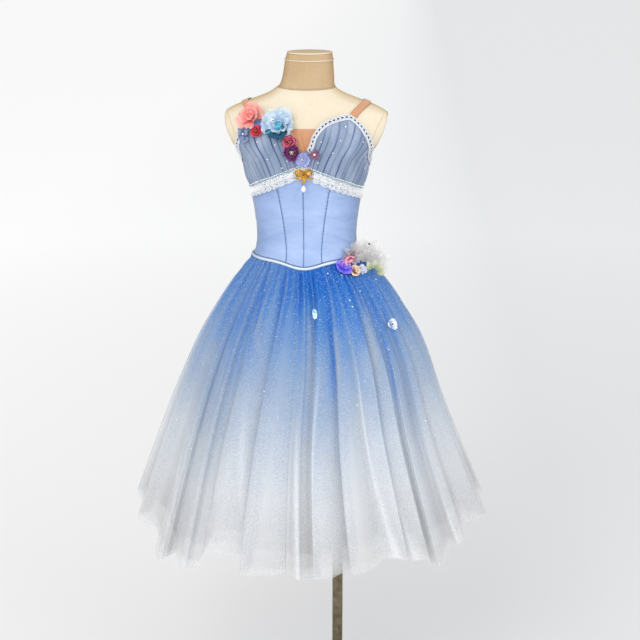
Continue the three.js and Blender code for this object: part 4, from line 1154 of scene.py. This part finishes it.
def skirtSheet(name, layer, numbers, rows):
    v = np.linspace(1, 0, rows)
    number, share = gridOf(numbers, v)
    t = share ** skirt["power"]
    points, gather = skirtPoint(number, t, layer)
    angle = wrapped(foldAt(number)["angle"])
    near = np.where(np.abs(angle) > 90, wrapped(angle - 180), angle)
    row = rowAt(dyeRows, "at", near)
    dye = t + (row["run"] + 0.025 * wander(number * 1.7, layer["seat"])) * smooth(t / 0.2)
    # painted shade in the valleys of the gathers, carried by the ink lines
    shadedValley = smooth((-gather - 0.2) / 0.8) * bell(t / 0.26)
    crest = smooth((gather - 0.2) / 1.0) * bell(t / 0.3)
    attributes = {"dye": dye, "deep": row["deep"],
                  "veil": np.maximum(streaks(veilRows, near, t) * 0.8,
                                     crest * 0.32 * (1 - 0.4 * row["deep"])),
                  "ink": np.maximum(streaks(inkAndShadeRows, near, t) * 0.85, shadedValley * (0.5 + 0.4 * row["deep"])),
                  "edge": streaks(edgeHighlightRows, near, t, 0.3) if layer is tulleLayers[0] else 0 * t,
                  "fray": smooth((t - 0.955) / 0.045)}
    uv = pairs(numbers * 0.1, v * 0.68)
    return clothGrid(name, points, uv, attributes=attributes)


def makeSkirt():
    for layer in tulleLayers:
        material = tulleMaterial(f"{layer['name']} tulle", layer, 0.6 if layer["name"] == "glitter" else 0.1)
        for end, start in (("front", 0), ("back", halfFolds)):
            numbers = start + np.linspace(0.006, halfFolds - 0.006, halfFolds * skirt["columnsPerFold"] + 1)
            obj = skirtSheet(f"skirt_{layer['name']}_{end}", layer, numbers, skirt["rows"])
            finishPiece(obj, material, "skirt_tulle", f"skirt_outer_{end}")
    material = tulleMaterial("under tulle", underLayer, 0.0)
    for end, start in (("front", 0), ("back", halfFolds)):
        numbers = start + np.linspace(0.006, halfFolds - 0.006, halfFolds * 16 + 1)
        obj = skirtSheet(f"skirt_under_{end}", underLayer, numbers, 36)
        finishPiece(obj, material, "under_tulle", f"skirt_inner_{end}")


print("skirt")
makeSkirt()

# Flowers

hip = {"seat": 4.4, "flare": 16, "faceShare": 0.7}


def hipPoint(angle, z, off):
    # the outside of the dress near the hip, over bodice and skirt alike
    onBodice = clothPoint(angle, np.maximum(z, dress["waist"] - dress["basqueDrop"]), hip["seat"])
    top = waistLine(angle) - dress["seam"]
    t = np.maximum((top - z) / (top - dress["hem"]), 0)
    row = rowAt(skirtRows, "t", t)
    reach = off + hip["flare"] * t ** 0.7
    s, c = sineCosine(angle)
    onSkirt = np.stack([(row["side"] + reach) * s, -(row["front"] + reach) * c, z + 0 * s], -1)
    further = np.hypot(onSkirt[..., 0], onSkirt[..., 1]) > np.hypot(onBodice[..., 0], onBodice[..., 1])
    return np.where(further[..., None], onSkirt, onBodice)


def frameOn(spot, angle, z):
    # a place on a surface with its directions: right, up and out
    middle = spot(angle, z)
    right = unit(spot(angle + 1.5, z) - spot(angle - 1.5, z))
    out = unit(np.cross(right, spot(angle, z + 3) - spot(angle, z - 3)))
    return middle, right, np.cross(out, right), out


def petal(length, wide, low, high, cup, ruffle, kind, seed):
    # a grid of points: x outwards from the flower's middle, y across, z up, with the reach along it
    u, v = gridOf(np.linspace(-1, 1, 10), np.linspace(0, 1, 12))
    tilt = np.radians(blend(low, high, v))
    along = np.cumsum(np.cos(tilt), 1) * length / 11
    rise = np.cumsum(np.sin(tilt), 1) * length / 11
    if kind == "point":
        half = np.sin(np.pi * np.clip(0.1 + 0.9 * v ** 0.9, 0, 0.995)) ** 0.8 * (1 - 0.3 * v)
    elif kind == "fan":
        half = 0.25 + 0.75 * np.sin(np.pi / 2 * np.clip(v * 1.25, 0, 1)) - 0.35 * smooth((v - 0.85) / 0.15)
    else:
        half = np.sqrt(np.maximum(1 - (2 * (0.06 + 0.93 * v ** 1.35) - 1) ** 2, 0.001))
    across = u * wide * half
    lift = cup * u ** 2 * wide * half + ruffle * np.sin(u * 5.3 + seed * 1.7 + v * 2) * v ** 1.5
    x = along - np.sin(tilt) * lift
    z = rise + np.cos(tilt) * lift
    return np.stack([x, across + 0.25 * ruffle * np.sin(v * 6 + seed), z], -1), v


def addRing(heap, place, ring):
    middle, right, up, out = place
    turns, length, wide, low, high, cup, ruffle, start, lift, kind = ring
    if isinstance(turns, int):
        turns = [360 / turns * k + 11 * math.sin(k * 2.3) for k in range(turns)]
    for k, turn in enumerate(turns):
        size = 1 + 0.09 * math.sin(k * 2.7 + length)
        shape, reach = petal(length * size, wide * size, low, high + 6 * math.sin(k * 1.9), cup, ruffle, kind,
                             k + length)
        a = math.radians(turn)
        ahead = right * math.cos(a) + up * math.sin(a)
        side = up * math.cos(a) - right * math.sin(a)
        flat = shape.reshape(-1, 3)
        points = (middle + ahead * (start + flat[:, :1]) + side * flat[:, 1:2]
                  + out * (lift + 0.5 * (k % 2) + flat[:, 2:3]))
        heap.add(points, gridFaces(*shape.shape[:2]), reach.ravel())


def facingFront(place, share):
    # turns a flower on its stalk towards the front
    middle, right, up, out = place
    out = unit(out * (1 - share) + np.array([0, -1, 0.2]) * share)
    right = unit(np.cross(up, out))
    return middle, right, np.cross(out, right), out


def petalMaterial(name, colours, alpha):
    # organza, chiffon or starched cotton petals: matt, paler or darker to the edge, sheer where thin
    material, shader, node = newMaterial(name)
    reach = painted(node, "reach")
    shift = worked(node, "MULTIPLY_ADD", noise(node, 160.0, 2.0), 0.5, -0.25)
    tint = ramp(node, worked(node, "ADD", reach, shift), list(zip((0.1, 0.5, 0.95), colours)))
    relief = bump(node, noise(node, 1100.0, 1.0), 0.0003, 0.4)
    clear = node("ShaderNodeMapRange", {"Value": reach, "From Min": 0.2, "To Min": min(alpha + 0.25, 1),
                                        "To Max": alpha})
    node(shader, {"Base Color": tint, "Normal": relief, "Alpha": clear if alpha < 1 else 1.0,
                  "Roughness": 0.6, "Specular IOR Level": 0.3, "Sheen Weight": 0.3})
    return material


# petal groups: name, node, slot, colours from middle to edge, opacity, place, lift, and rings of petals.
# A ring: petals or their turns, length, half width, tilt at the root and the tip, cup, ruffle, start, lift
# and kind
chestGroups = [
    ("coral_petals", "flower_coral", "coral_organza", ("E0605C", "F29A92", "F9BDB4"), 0.72, -36.5, 1453, 0, [
        ((30, 85, 150, 215, 265), 31, 16, 6, 34, 0.1, 2.4, 1, 1, "fan"),
        ((5, 60, 120, 185), 25, 15, 24, 52, 0.15, 2.6, 0, 4, "round"),
        ((100, 240, 320), 16, 12, 44, 70, 0.3, 2, 0, 5, "round")]),
    ("blue_organza_petals", "flower_blue_organza", "blue_organza", ("4E9CC8", "A9CCE8", "DCEBF6"), 0.66,
     -15.5, 1439, 0, [
        ((20, 66, 100, 140, 190, 335), 36, 18, 8, 28, 0.12, 3.0, 1, 1, "fan"),
        ((45, 85, 130, 170, 215, 290, 350), 27, 15, 26, 48, 0.2, 3.0, 0, 3, "fan"),
        ((10, 100, 190, 280), 15, 9, 45, 65, 0.3, 1.4, 0, 5, "round")]),
    ("teal_petals", "flower_blue_organza", "blue_organza", ("3FA3C6", "1E7FA6", "0E5A78"), 0.85,
     -16, 1432, 0, [
        ((225, 255, 285, 315, 340), 26, 12, 12, 34, 0.2, 3.0, 0, 2, "fan"),
        ((240, 270, 300, 350), 19, 10, 30, 52, 0.25, 2.4, 0, 5, "fan")]),
    ("periwinkle_petals", "rose_red", "red_petal", ("5E78CC", "7D97E0", "3B55A8"), 0.85, -27.5, 1430, 0, [
        ((35, 80, 120, 165), 17, 9, 18, 36, 0.2, 1.2, 1, 1, "round")]),
    ("red_rose", "rose_red", "red_petal", ("8E0F22", "CC2238", "E8485A"), 1, -30, 1426, 0, [
        (5, 12.5, 8.5, 22, 8, 0.4, 1.2, 1, 2, "round"), (5, 11, 7.5, 48, 30, 0.6, 1.2, 1, 4, "round"),
        (4, 9, 6, 70, 72, 0.8, 0.8, 0.5, 5, "round"), (3, 8, 4.5, 86, 92, 0.9, 0.5, 0, 5, "round")]),
    ("slate_bow_loops", "bow_grey_tulle", "grey_bow", ("3F4F78", "66799F", "8E9DC0"), 0.85, -40, 1419, 0, [
        ((60, 120, 200, 250, 300), 17, 8, 40, -40, 0.3, 1.4, 0, 4, "fan"),
        ((20, 160, 275), 13, 6, 60, -20, 0.3, 1.0, 0, 5, "fan")]),
    ("crimson_rose", "rose_crimson", "crimson_petal", ("7A1230", "B5254A", "DE7A96"), 1, -8.6, 1406, 0, [
        (6, 15.5, 9.5, 14, 6, 0.3, 1.4, 1, 1, "round"), (5, 13, 8.5, 40, 22, 0.55, 1.4, 1, 3, "round"),
        (4, 10.5, 7, 64, 56, 0.75, 1.0, 1, 5, "round"), (3, 9, 5, 84, 90, 0.9, 0.6, 0, 6, "round")]),
    ("purple_petals", "flower_purple", "purple_petal", ("2E0830", "5A1152", "7C2A74"), 1, -7.6, 1384, 0, [
        (8, 17, 8, 14, 30, 0.2, 2.2, 1, 2, "fan"), (7, 13, 7, 36, 52, 0.3, 2.0, 1, 4, "fan"),
        (5, 8, 5, 60, 76, 0.4, 1.2, 0, 5, "fan")]),
    ("lavender_petals", "flower_lavender", "lavender_petal", ("7F87CC", "9BA5E0", "B4BCEC"), 0.85,
     0.5, 1369, 0, [
        (8, 14, 6.5, 8, 22, 0.15, 1.2, 0.5, 2, "fan"), (6, 9.5, 5, 30, 48, 0.2, 1.0, 0.5, 4, "fan")]),
    ("mauve_petals", "flower_mauve", "mauve_petal", ("B98BAE", "9A5A7C", "7C3C5C"), 0.9, 9.3, 1380, 0, [
        (8, 14, 3.2, 14, 26, 0.5, 0.6, 0.5, 2, "point"), (6, 9, 2.4, 40, 56, 0.5, 0.4, 0.5, 3, "point")])]
hipGroups = [
    ("violet_petals", "hip_flower_violet", "violet_petal", ("4F3FE0", "6C5CF5", "9A86FA"), 0.92,
     40.5, 1107, -0.2, [
        ((150, 200, 250, 300), 19, 12, 10, 28, 0.2, 1.6, 1, 2, "round"),
        ((170, 230, 280), 14, 9, 40, 60, 0.35, 1.2, 0, 4, "round")]),
    ("lilac_petals", "hip_flower_violet", "violet_petal", ("8A6CF2", "B49CF6", "D9C8FA"), 0.8,
     40.5, 1107, -0.2, [
        ((10, 60, 110), 18, 11, 16, 36, 0.2, 1.6, 1, 3, "round"),
        ((30, 90), 12, 8, 44, 66, 0.3, 1.2, 0, 5, "round")]),
    ("cream_rose", "hip_rose_cream", "cream_petal", ("8A5A34", "F6D2A8", "FFF0DC"), 1, 51.5, 1095, -0.7, [
        (5, 13, 9, 22, 10, 0.4, 0.8, 1, 2, "round"), (4, 11.5, 7.6, 54, 40, 0.7, 0.6, 1, 4, "round"),
        (3, 9.5, 5.4, 80, 88, 0.9, 0.4, 0.3, 5, "round")]),
    ("pink_ribbon_petals", "hip_petals_pink", "pink_petal", ("E0607C", "F28CA4", "F9B8C6"), 0.85,
     47, 1122, -1.9, [
        ((20, 75, 130, 175), 24, 8, 14, 110, 0.1, 1.2, 1, 4, "fan"),
        ((50, 110), 17, 7, 30, 140, 0.1, 1, 0, 7, "fan")]),
    ("greige_petals", "hip_flower_greige", "greige_petal", ("A39CA6", "C9BEC2", "E2DADC"), 0.75,
     58, 1131, -1.9, [
        (8, 24, 9, 14, 34, 0.3, 1.6, 1, 3, "point"), (7, 19, 8, 36, 56, 0.3, 1.4, 1, 6, "point"),
        (5, 13, 6, 60, 76, 0.3, 1.0, 0, 8, "point")]),
    ("white_puff_petals", "hip_puff_white", "white_petal", ("CFCDCC", "DCDBD9", "E6E5E3"), 0.46,
     75, 1103, -0.2, [
        ((-28, -4, 20, 44, 68, 94), 46, 17, 8, 20, 0.15, 3.0, 9, 4, "fan"),
        ((-14, 10, 34, 58, 84), 40, 15, 18, 34, 0.15, 3.0, 4, 6, "fan"),
        ((0, 28, 55, 80), 31, 13, 34, 50, 0.2, 2.6, 3, 7, "fan")]),
    ("white_flower_petals", "hip_flower_white", "white_petal", ("C4CCE4", "E6EAF4", "F6F8FC"), 0.85,
     65, 1095, 0.1, [
        (5, 11, 6, 14, 26, 0.2, 0.8, 0.5, 3, "round"), (4, 7, 4.4, 40, 56, 0.3, 0.6, 0, 4, "round")]),
    ("green_leaves", "hip_leaves", "leaf", ("8C9672", "B4BC9A", "D6DAC4"), 1, 72, 1080, 0.5, [
        ((38, 2, -30), 23, 9, 8, 22, 0.3, 0.8, 11, 22, "point"),
        ((75,), 20, 7.5, 8, 22, 0.3, 0.8, 8, 20, "point")])]
# groups that turn towards the front on their stalks
uprightGroups = ("greige_petals", "white_puff_petals", "white_flower_petals", "green_leaves")
goldenAngle = 2.39996
cutKinds = ("crystal", "lilac")
# bead clusters: kind, whether on the hip, place, lift, count, spread and size
beadClusters = [
    ("teal", False, -15, 1436, 17, 22, 8.5, 2.1), ("pearl", False, -19.5, 1446, 16, 6, 5, 2.1),
    ("pearl", False, -36, 1453, 10, 4, 4, 1.5), ("pearl", False, -7.6, 1384, 13, 9, 5, 1.2),
    ("gold", False, -7.0, 1385, 13.5, 5, 4.2, 1.1), ("pearl", False, 0.5, 1369, 9, 7, 3.6, 1.3),
    ("dark", False, 0.8, 1369, 9.5, 4, 4.2, 1.1), ("pearl", False, 9.3, 1380, 7, 1, 0, 3.1),
    ("crystal", False, -40, 1419, 9, 1, 0, 2.6), ("crystal", False, -44.5, 1429, 6, 1, 0, 2.2),
    ("gold", False, -29.8, 1426, 12, 3, 2, 1.0), ("gold", False, -8.6, 1406, 13, 4, 2.5, 1.0),
    ("crystal", False, -41, 1470, 7, 1, 0, 1.8), ("lilac", False, -46, 1448, 6, 1, 0, 1.8),
    ("crystal", False, -31, 1478, 8, 1, 0, 1.6), ("dark", True, 72, 1156, 26, 1, 0, 2.6),
    ("pearl", True, 63, 1099, 7, 1, 0, 2.6), ("crystal", True, 60, 1089, 6, 3, 4, 1.5),
    ("crystal", True, 69, 1088, 6, 2, 3, 1.6), ("pearl", True, 57, 1133, 13, 5, 3.5, 1.1),
    ("gold", True, 51, 1096, 10, 3, 1.6, 0.9), ("crystal", True, 35, 1092, 3, 2, 3, 1.2)]
# single stones and pearls sewn on the cups, and stones on the skirt: place and size
cupStones = [("pearl", -44.5, 1428, 1.7), ("pearl", -30.8, 1404, 1.9), ("lilac", -30, 1400, 1.3),
             ("pearl", -18.5, 1399, 1.9), ("gold", -37, 1374, 1.6), ("crystal", -27, 1368, 1.7),
             ("pearl", -12.3, 1365, 1.8), ("pearl", -17, 1350, 1.8), ("pearl", -12.3, 1389, 1.6),
             ("crystal", 28, 1438, 2.0), ("pearl", 25, 1409, 1.8), ("lilac", 42, 1405, 1.7),
             ("pearl", 12.3, 1407, 1.8), ("pearl", 21.8, 1383, 1.8), ("pearl", 12.8, 1362, 1.8),
             ("crystal", 55, 1372, 1.6), ("pearl", 66, 1340, 1.6), ("crystal", -58, 1350, 1.5)]
skirtStones = [(23.2, 0.025), (70.8, 0.072), (45.8, 0.09), (32, 0.113), (32.3, 0.133), (50.3, 0.273),
               (24.8, 0.453), (-20, 0.417), (-52, 0.62), (-66, 0.6), (62, 0.56), (118, 0.2), (150, 0.35),
               (-140, 0.25), (-165, 0.5), (-115, 0.12), (170, 0.12), (100, 0.5)]


beadFinishes = {"pearl": (pearlGloss, "pearl"), "teal": (tealGlass, "crystal"), "gold": (goldGlass, "gilt"),
                "dark": (darkGlass, "garnet"), "crystal": (crystalGlass, "crystal"),
                "lilac": (lilacGlass, "crystal")}


def onChest(angle, z):
    return clothPoint(angle, z, 7.4)


def onTulle(at, t):
    # a place on the outermost tulle with its directions
    numbers = np.linspace(0, len(foldRows["at"]), 3000, endpoint=False)
    number = numbers[np.argmin(np.abs(wrapped(foldAt(numbers)["angle"] - at)))]
    n = np.array([number, number + 0.04, number - 0.04, number, number])
    h = np.array([t, t, t, t - 0.01, t + 0.01])
    points = skirtPoint(n, h, tulleLayers[0])[0]
    right = unit(points[1] - points[2])
    out = unit(np.cross(right, points[3] - points[4]))
    return points[0], right, np.cross(out, right), out


def makeFlowers(bead):
    heaps = {kind: Heap() for kind in beadFinishes}
    stone = meshOf(turned("stone", 8, [(0.55, -0.3), (1.0, 0.25), (0.62, 0.62)], smoothShade=False))
    for groups, isHip in ((chestGroups, False), (hipGroups, True)):
        for name, cadNode, slot, colours, alpha, at, z, off, rings in groups:
            spot = partial(hipPoint, off=off) if isHip else onChest
            place = facingFront(frameOn(spot, at, z), hip["faceShare"] if name in uprightGroups else 0.0)
            heap = Heap()
            for ring in rings:
                addRing(heap, place, ring)
            material = petalMaterial(name.replace("_", " "), colours, alpha)
            finishPiece(heap.make(name), material, slot, cadNode)
    for kind, isHip, at, z, lift, count, spread, size in beadClusters:
        spot = partial(hipPoint, off=0.0) if isHip else onChest
        middle, right, up, out = frameOn(spot, at, z)
        shape = stone if kind in cutKinds else bead
        for k in range(count):
            r = spread * math.sqrt(k / max(count - 1, 1))
            a = k * goldenAngle + at
            place = middle + right * r * math.cos(a) + up * r * math.sin(a) + out * (lift - 0.05 * r * r)
            heaps[kind].add(placed(shape[0], place, right, up, out, size), shape[1])
    for kind, at, z, size in cupStones:
        middle, right, up, out = frameOn(onChest, at, z)
        shape = stone if kind in cutKinds else bead
        heaps[kind].add(placed(shape[0], middle - out * 0.6, right, up, out, size), shape[1])
    for at, t in skirtStones:
        middle, right, up, out = onTulle(at, t)
        heaps["crystal"].add(placed(stone[0], middle + out * 0.6, right, up, out, 2.1), stone[1])
    for kind, heap in heaps.items():
        finishPiece(heap.make(f"sewn_{kind}_beads", smoothShade=kind not in cutKinds), *beadFinishes[kind])


print("flowers and beads")
makeFlowers(bead)

# Brooch, drop, stones and glitter

brooch = {"x": 3, "z": 1337, "front": -122.3, "rim": 0.85}
# one side of the bow: corner, two handles and the next corner
bowCurves = [((0, 4), (6, 12), (19, 12), (20, 4)), ((20, 4), (21, -4), (12, -6), (5, -3)),
             ((5, -3), (9, -6), (13, -10), (20, -9)), ((20, -9), (14, -14), (6, -13), (2, -8)),
             ((2, -8), (2.5, -12), (4.6, -16), (2, -20.5))]
innerCurves = [((2, 3), (6, 8.5), (15, 9), (16, 3.5)), ((16, 3.5), (16, -1.5), (10, -3), (4, -0.5)),
               ((4, -6), (8, -9), (12, -11), (15.5, -10.3)), ((3.4, -9.5), (6, -8), (8, -5), (4.5, -3.5))]
# the film flower on the skirt: place, lift and size of its bead, and rings of petals as above
filmFlower = {"at": 60.75, "t": 0.215, "lift": 5, "bead": 2.0, "rings": [
    (6, 12.5, 6.4, 8, 20, 0.3, 0.5, 0.5, 1.5, "fan"), (5, 7.5, 4.4, 26, 44, 0.3, 0.4, 0.5, 2.2, "fan")]}
# flakes: how many, half size, and the steps that spread them evenly round and down the skirt
glitter = {"count": 9000, "size": 0.55, "out": 0.6, "steps": (0.618034, 0.754878)}


def coverNode(name, material):
    for place in bpy.data.objects[name].material_slots:
        place.material = material


def makeBrooch(bead):
    # wire scrollwork on the cast bow, with a grain of metal where the wires meet
    wires = Heap()
    s = np.linspace(0, 1, 16)[:, None]
    for curves, radius, lift in ((bowCurves, brooch["rim"], 0.0), (innerCurves, 0.6, 0.3)):
        for curve in curves:
            a, b, c, d = (np.array(corner, float) for corner in curve)
            line = a * (1 - s) ** 3 + 3 * b * s * (1 - s) ** 2 + 3 * c * s ** 2 * (1 - s) + d * s ** 3
            for side in (-1, 1):
                path = np.stack([side * line[:, 0] + brooch["x"], brooch["front"] - lift + 0 * s[:, 0],
                                 line[:, 1] + brooch["z"]], -1)
                wires.add(*tubeAlong(path, radius, 6, guide=(0, 1, 0)))
                for end in (path[0], path[-1]):
                    wires.add(bead[0] * 1.15 + end, bead[1])
    finishPiece(wires.make("brooch_wires"), gilt, "gilt")
    for names, material in ((("brooch_bow", "brooch_pin", "drop_ring"), gilt), (("drop_pearl",), pearlGloss),
                            (("brooch_gem_left", "brooch_gem_right"), amberGlass),
                            (("brooch_gem_middle",), garnetGlass), (("skirt_crystal",), aquaCrystal)):
        for name in names:
            coverNode(name, material)


def makeFilmFlower(bead):
    place = onTulle(filmFlower["at"], filmFlower["t"])
    petals = Heap()
    for ring in filmFlower["rings"]:
        addRing(petals, place, ring)
    finishPiece(petals.make("film_flower_petals"), rainbowFilm, "sequin", "skirt_sequin_flower")
    middle, right, up, out = place
    heart = Heap()
    heart.add(placed(bead[0], middle + out * filmFlower["lift"], right, up, out, filmFlower["bead"]), bead[1])
    finishPiece(heart.make("film_flower_bead"), darkGlass, "garnet")


def makeGlitter():
    # single flakes of film, glued all over the outer tulle
    k = np.arange(glitter["count"])
    roundStep, downStep = glitter["steps"]
    number = (k * roundStep) % 1 * len(foldRows["at"])
    t = 0.02 + 0.93 * (k * downStep) % 1
    onSkirt = partial(skirtPoint, layer=tulleLayers[0], out=glitter["out"])
    points = onSkirt(number, t)[0]
    right = unit(onSkirt(number + 0.02, t)[0] - points)
    out = unit(np.cross(right, onSkirt(number, t - 0.01)[0] - points))
    up = np.cross(out, right)
    flakes = Heap()
    for i in k:
        turn = i * 1.7
        a = right[i] * math.cos(turn) + up[i] * math.sin(turn) + out[i] * 0.25 * math.sin(i * 2.3)
        b = up[i] * math.cos(turn) - right[i] * math.sin(turn) + out[i] * 0.25 * math.cos(i * 3.1)
        size = glitter["size"] * (0.7 + 1.3 * ((i * 0.37) % 1) ** 5)
        flakes.add([points[i] + a * size, points[i] + b * size, points[i] - a * size, points[i] - b * size],
                   [(0, 1, 2, 3)])
    finishPiece(flakes.make("skirt_flakes", smoothShade=False), blueFlake, "skirt_tulle")


print("brooch and glitter")
makeBrooch(bead)
makeFilmFlower(bead)
makeGlitter()

# Camera, floor and light

view = {"place": (0.166889, -3.043331, 1.960), "pitch": 17, "azimuth": 4, "focalPixels": 1300}
studio = {"world": "FAFAFA", "worldStrength": 0.87, "floorGlow": 0.15, "floorSize": 160,
          "across": (-2.5, 1.5), "away": 9.0}
# painted shade on the floor, darker towards the right, and a painted shadow round the stand that fades
# outwards
floorShadeTints = [(0.0, "FAFAFA"), (0.6, "F0F1F2"), (0.8, "E0E3E5"), (1.0, "E2E3E4")]
standShadowTints = [(0.05, "E2E1E1"), (0.6, "FFFFFF")]
# lamps: name, place, target, size in metres and power in watts
lamps = [("window", (-1.3, -3.4, 3.6), (-0.1, 0, 1.1), 2.2, 76),
         ("fill", (3.0, -1.6, 2.2), (-0.1, 0, 1.0), 2.4, 33)]


def makeCamera():
    camera = bpy.data.cameras.new("camera")
    camera.sensor_width = 36
    camera.lens = 36 * view["focalPixels"] / 640
    camera.clip_end = 60
    obj = bpy.data.objects.new("camera", camera)
    obj.location = view["place"]
    obj.rotation_euler = (math.radians(90 - view["pitch"]), 0, math.radians(view["azimuth"]))
    bpy.context.collection.objects.link(obj)
    bpy.context.scene.camera = obj


def makeLight(name, place, target, size, power):
    light = bpy.data.lights.new(name, "AREA")
    light.size = size
    light.energy = power
    obj = bpy.data.objects.new(name, light)
    obj.location = place
    obj.rotation_euler = (Vector(target) - Vector(place)).to_track_quat("-Z", "Y").to_euler()
    bpy.context.collection.objects.link(obj)


def makeStudio():
    bpy.ops.mesh.primitive_plane_add(size=studio["floorSize"], location=(0, 0, -0.002))
    floor = bpy.context.object
    floor.name = "studio_floor"
    paint, shader, node = newMaterial("matt white paint")
    place = objectPlace(node)
    axes = node("ShaderNodeSeparateXYZ", {"Vector": place})
    across = node("ShaderNodeMapRange", {"Value": (axes, "X"), "From Min": studio["across"][0],
                                         "From Max": studio["across"][1]})
    away = node("ShaderNodeVectorMath", {0: place}, operation="LENGTH")
    reach = node("ShaderNodeMapRange", {"Value": (away, "Value"), "From Max": studio["away"]})
    # painted shade across the floor and painted shadow round the stand
    tint = mixed(node, 1.0, ramp(node, across, floorShadeTints), ramp(node, reach, standShadowTints), "MULTIPLY")
    node(shader, {"Base Color": tint, "Roughness": 0.9, "Specular IOR Level": 0.1, "Emission Color": "FFFFFF",
                  "Emission Strength": studio["floorGlow"]})
    floor.data.materials.append(paint)
    world = bpy.data.worlds.new("studio")
    bpy.context.scene.world = world
    world.use_nodes = True
    backdrop = world.node_tree.nodes["Background"]
    backdrop.inputs["Color"].default_value = hexColour(studio["world"])
    backdrop.inputs["Strength"].default_value = studio["worldStrength"]
    for lamp in lamps:
        makeLight(*lamp)
    bpy.context.scene.view_settings.view_transform = "Standard"


print("studio")
makeCamera()
makeStudio()
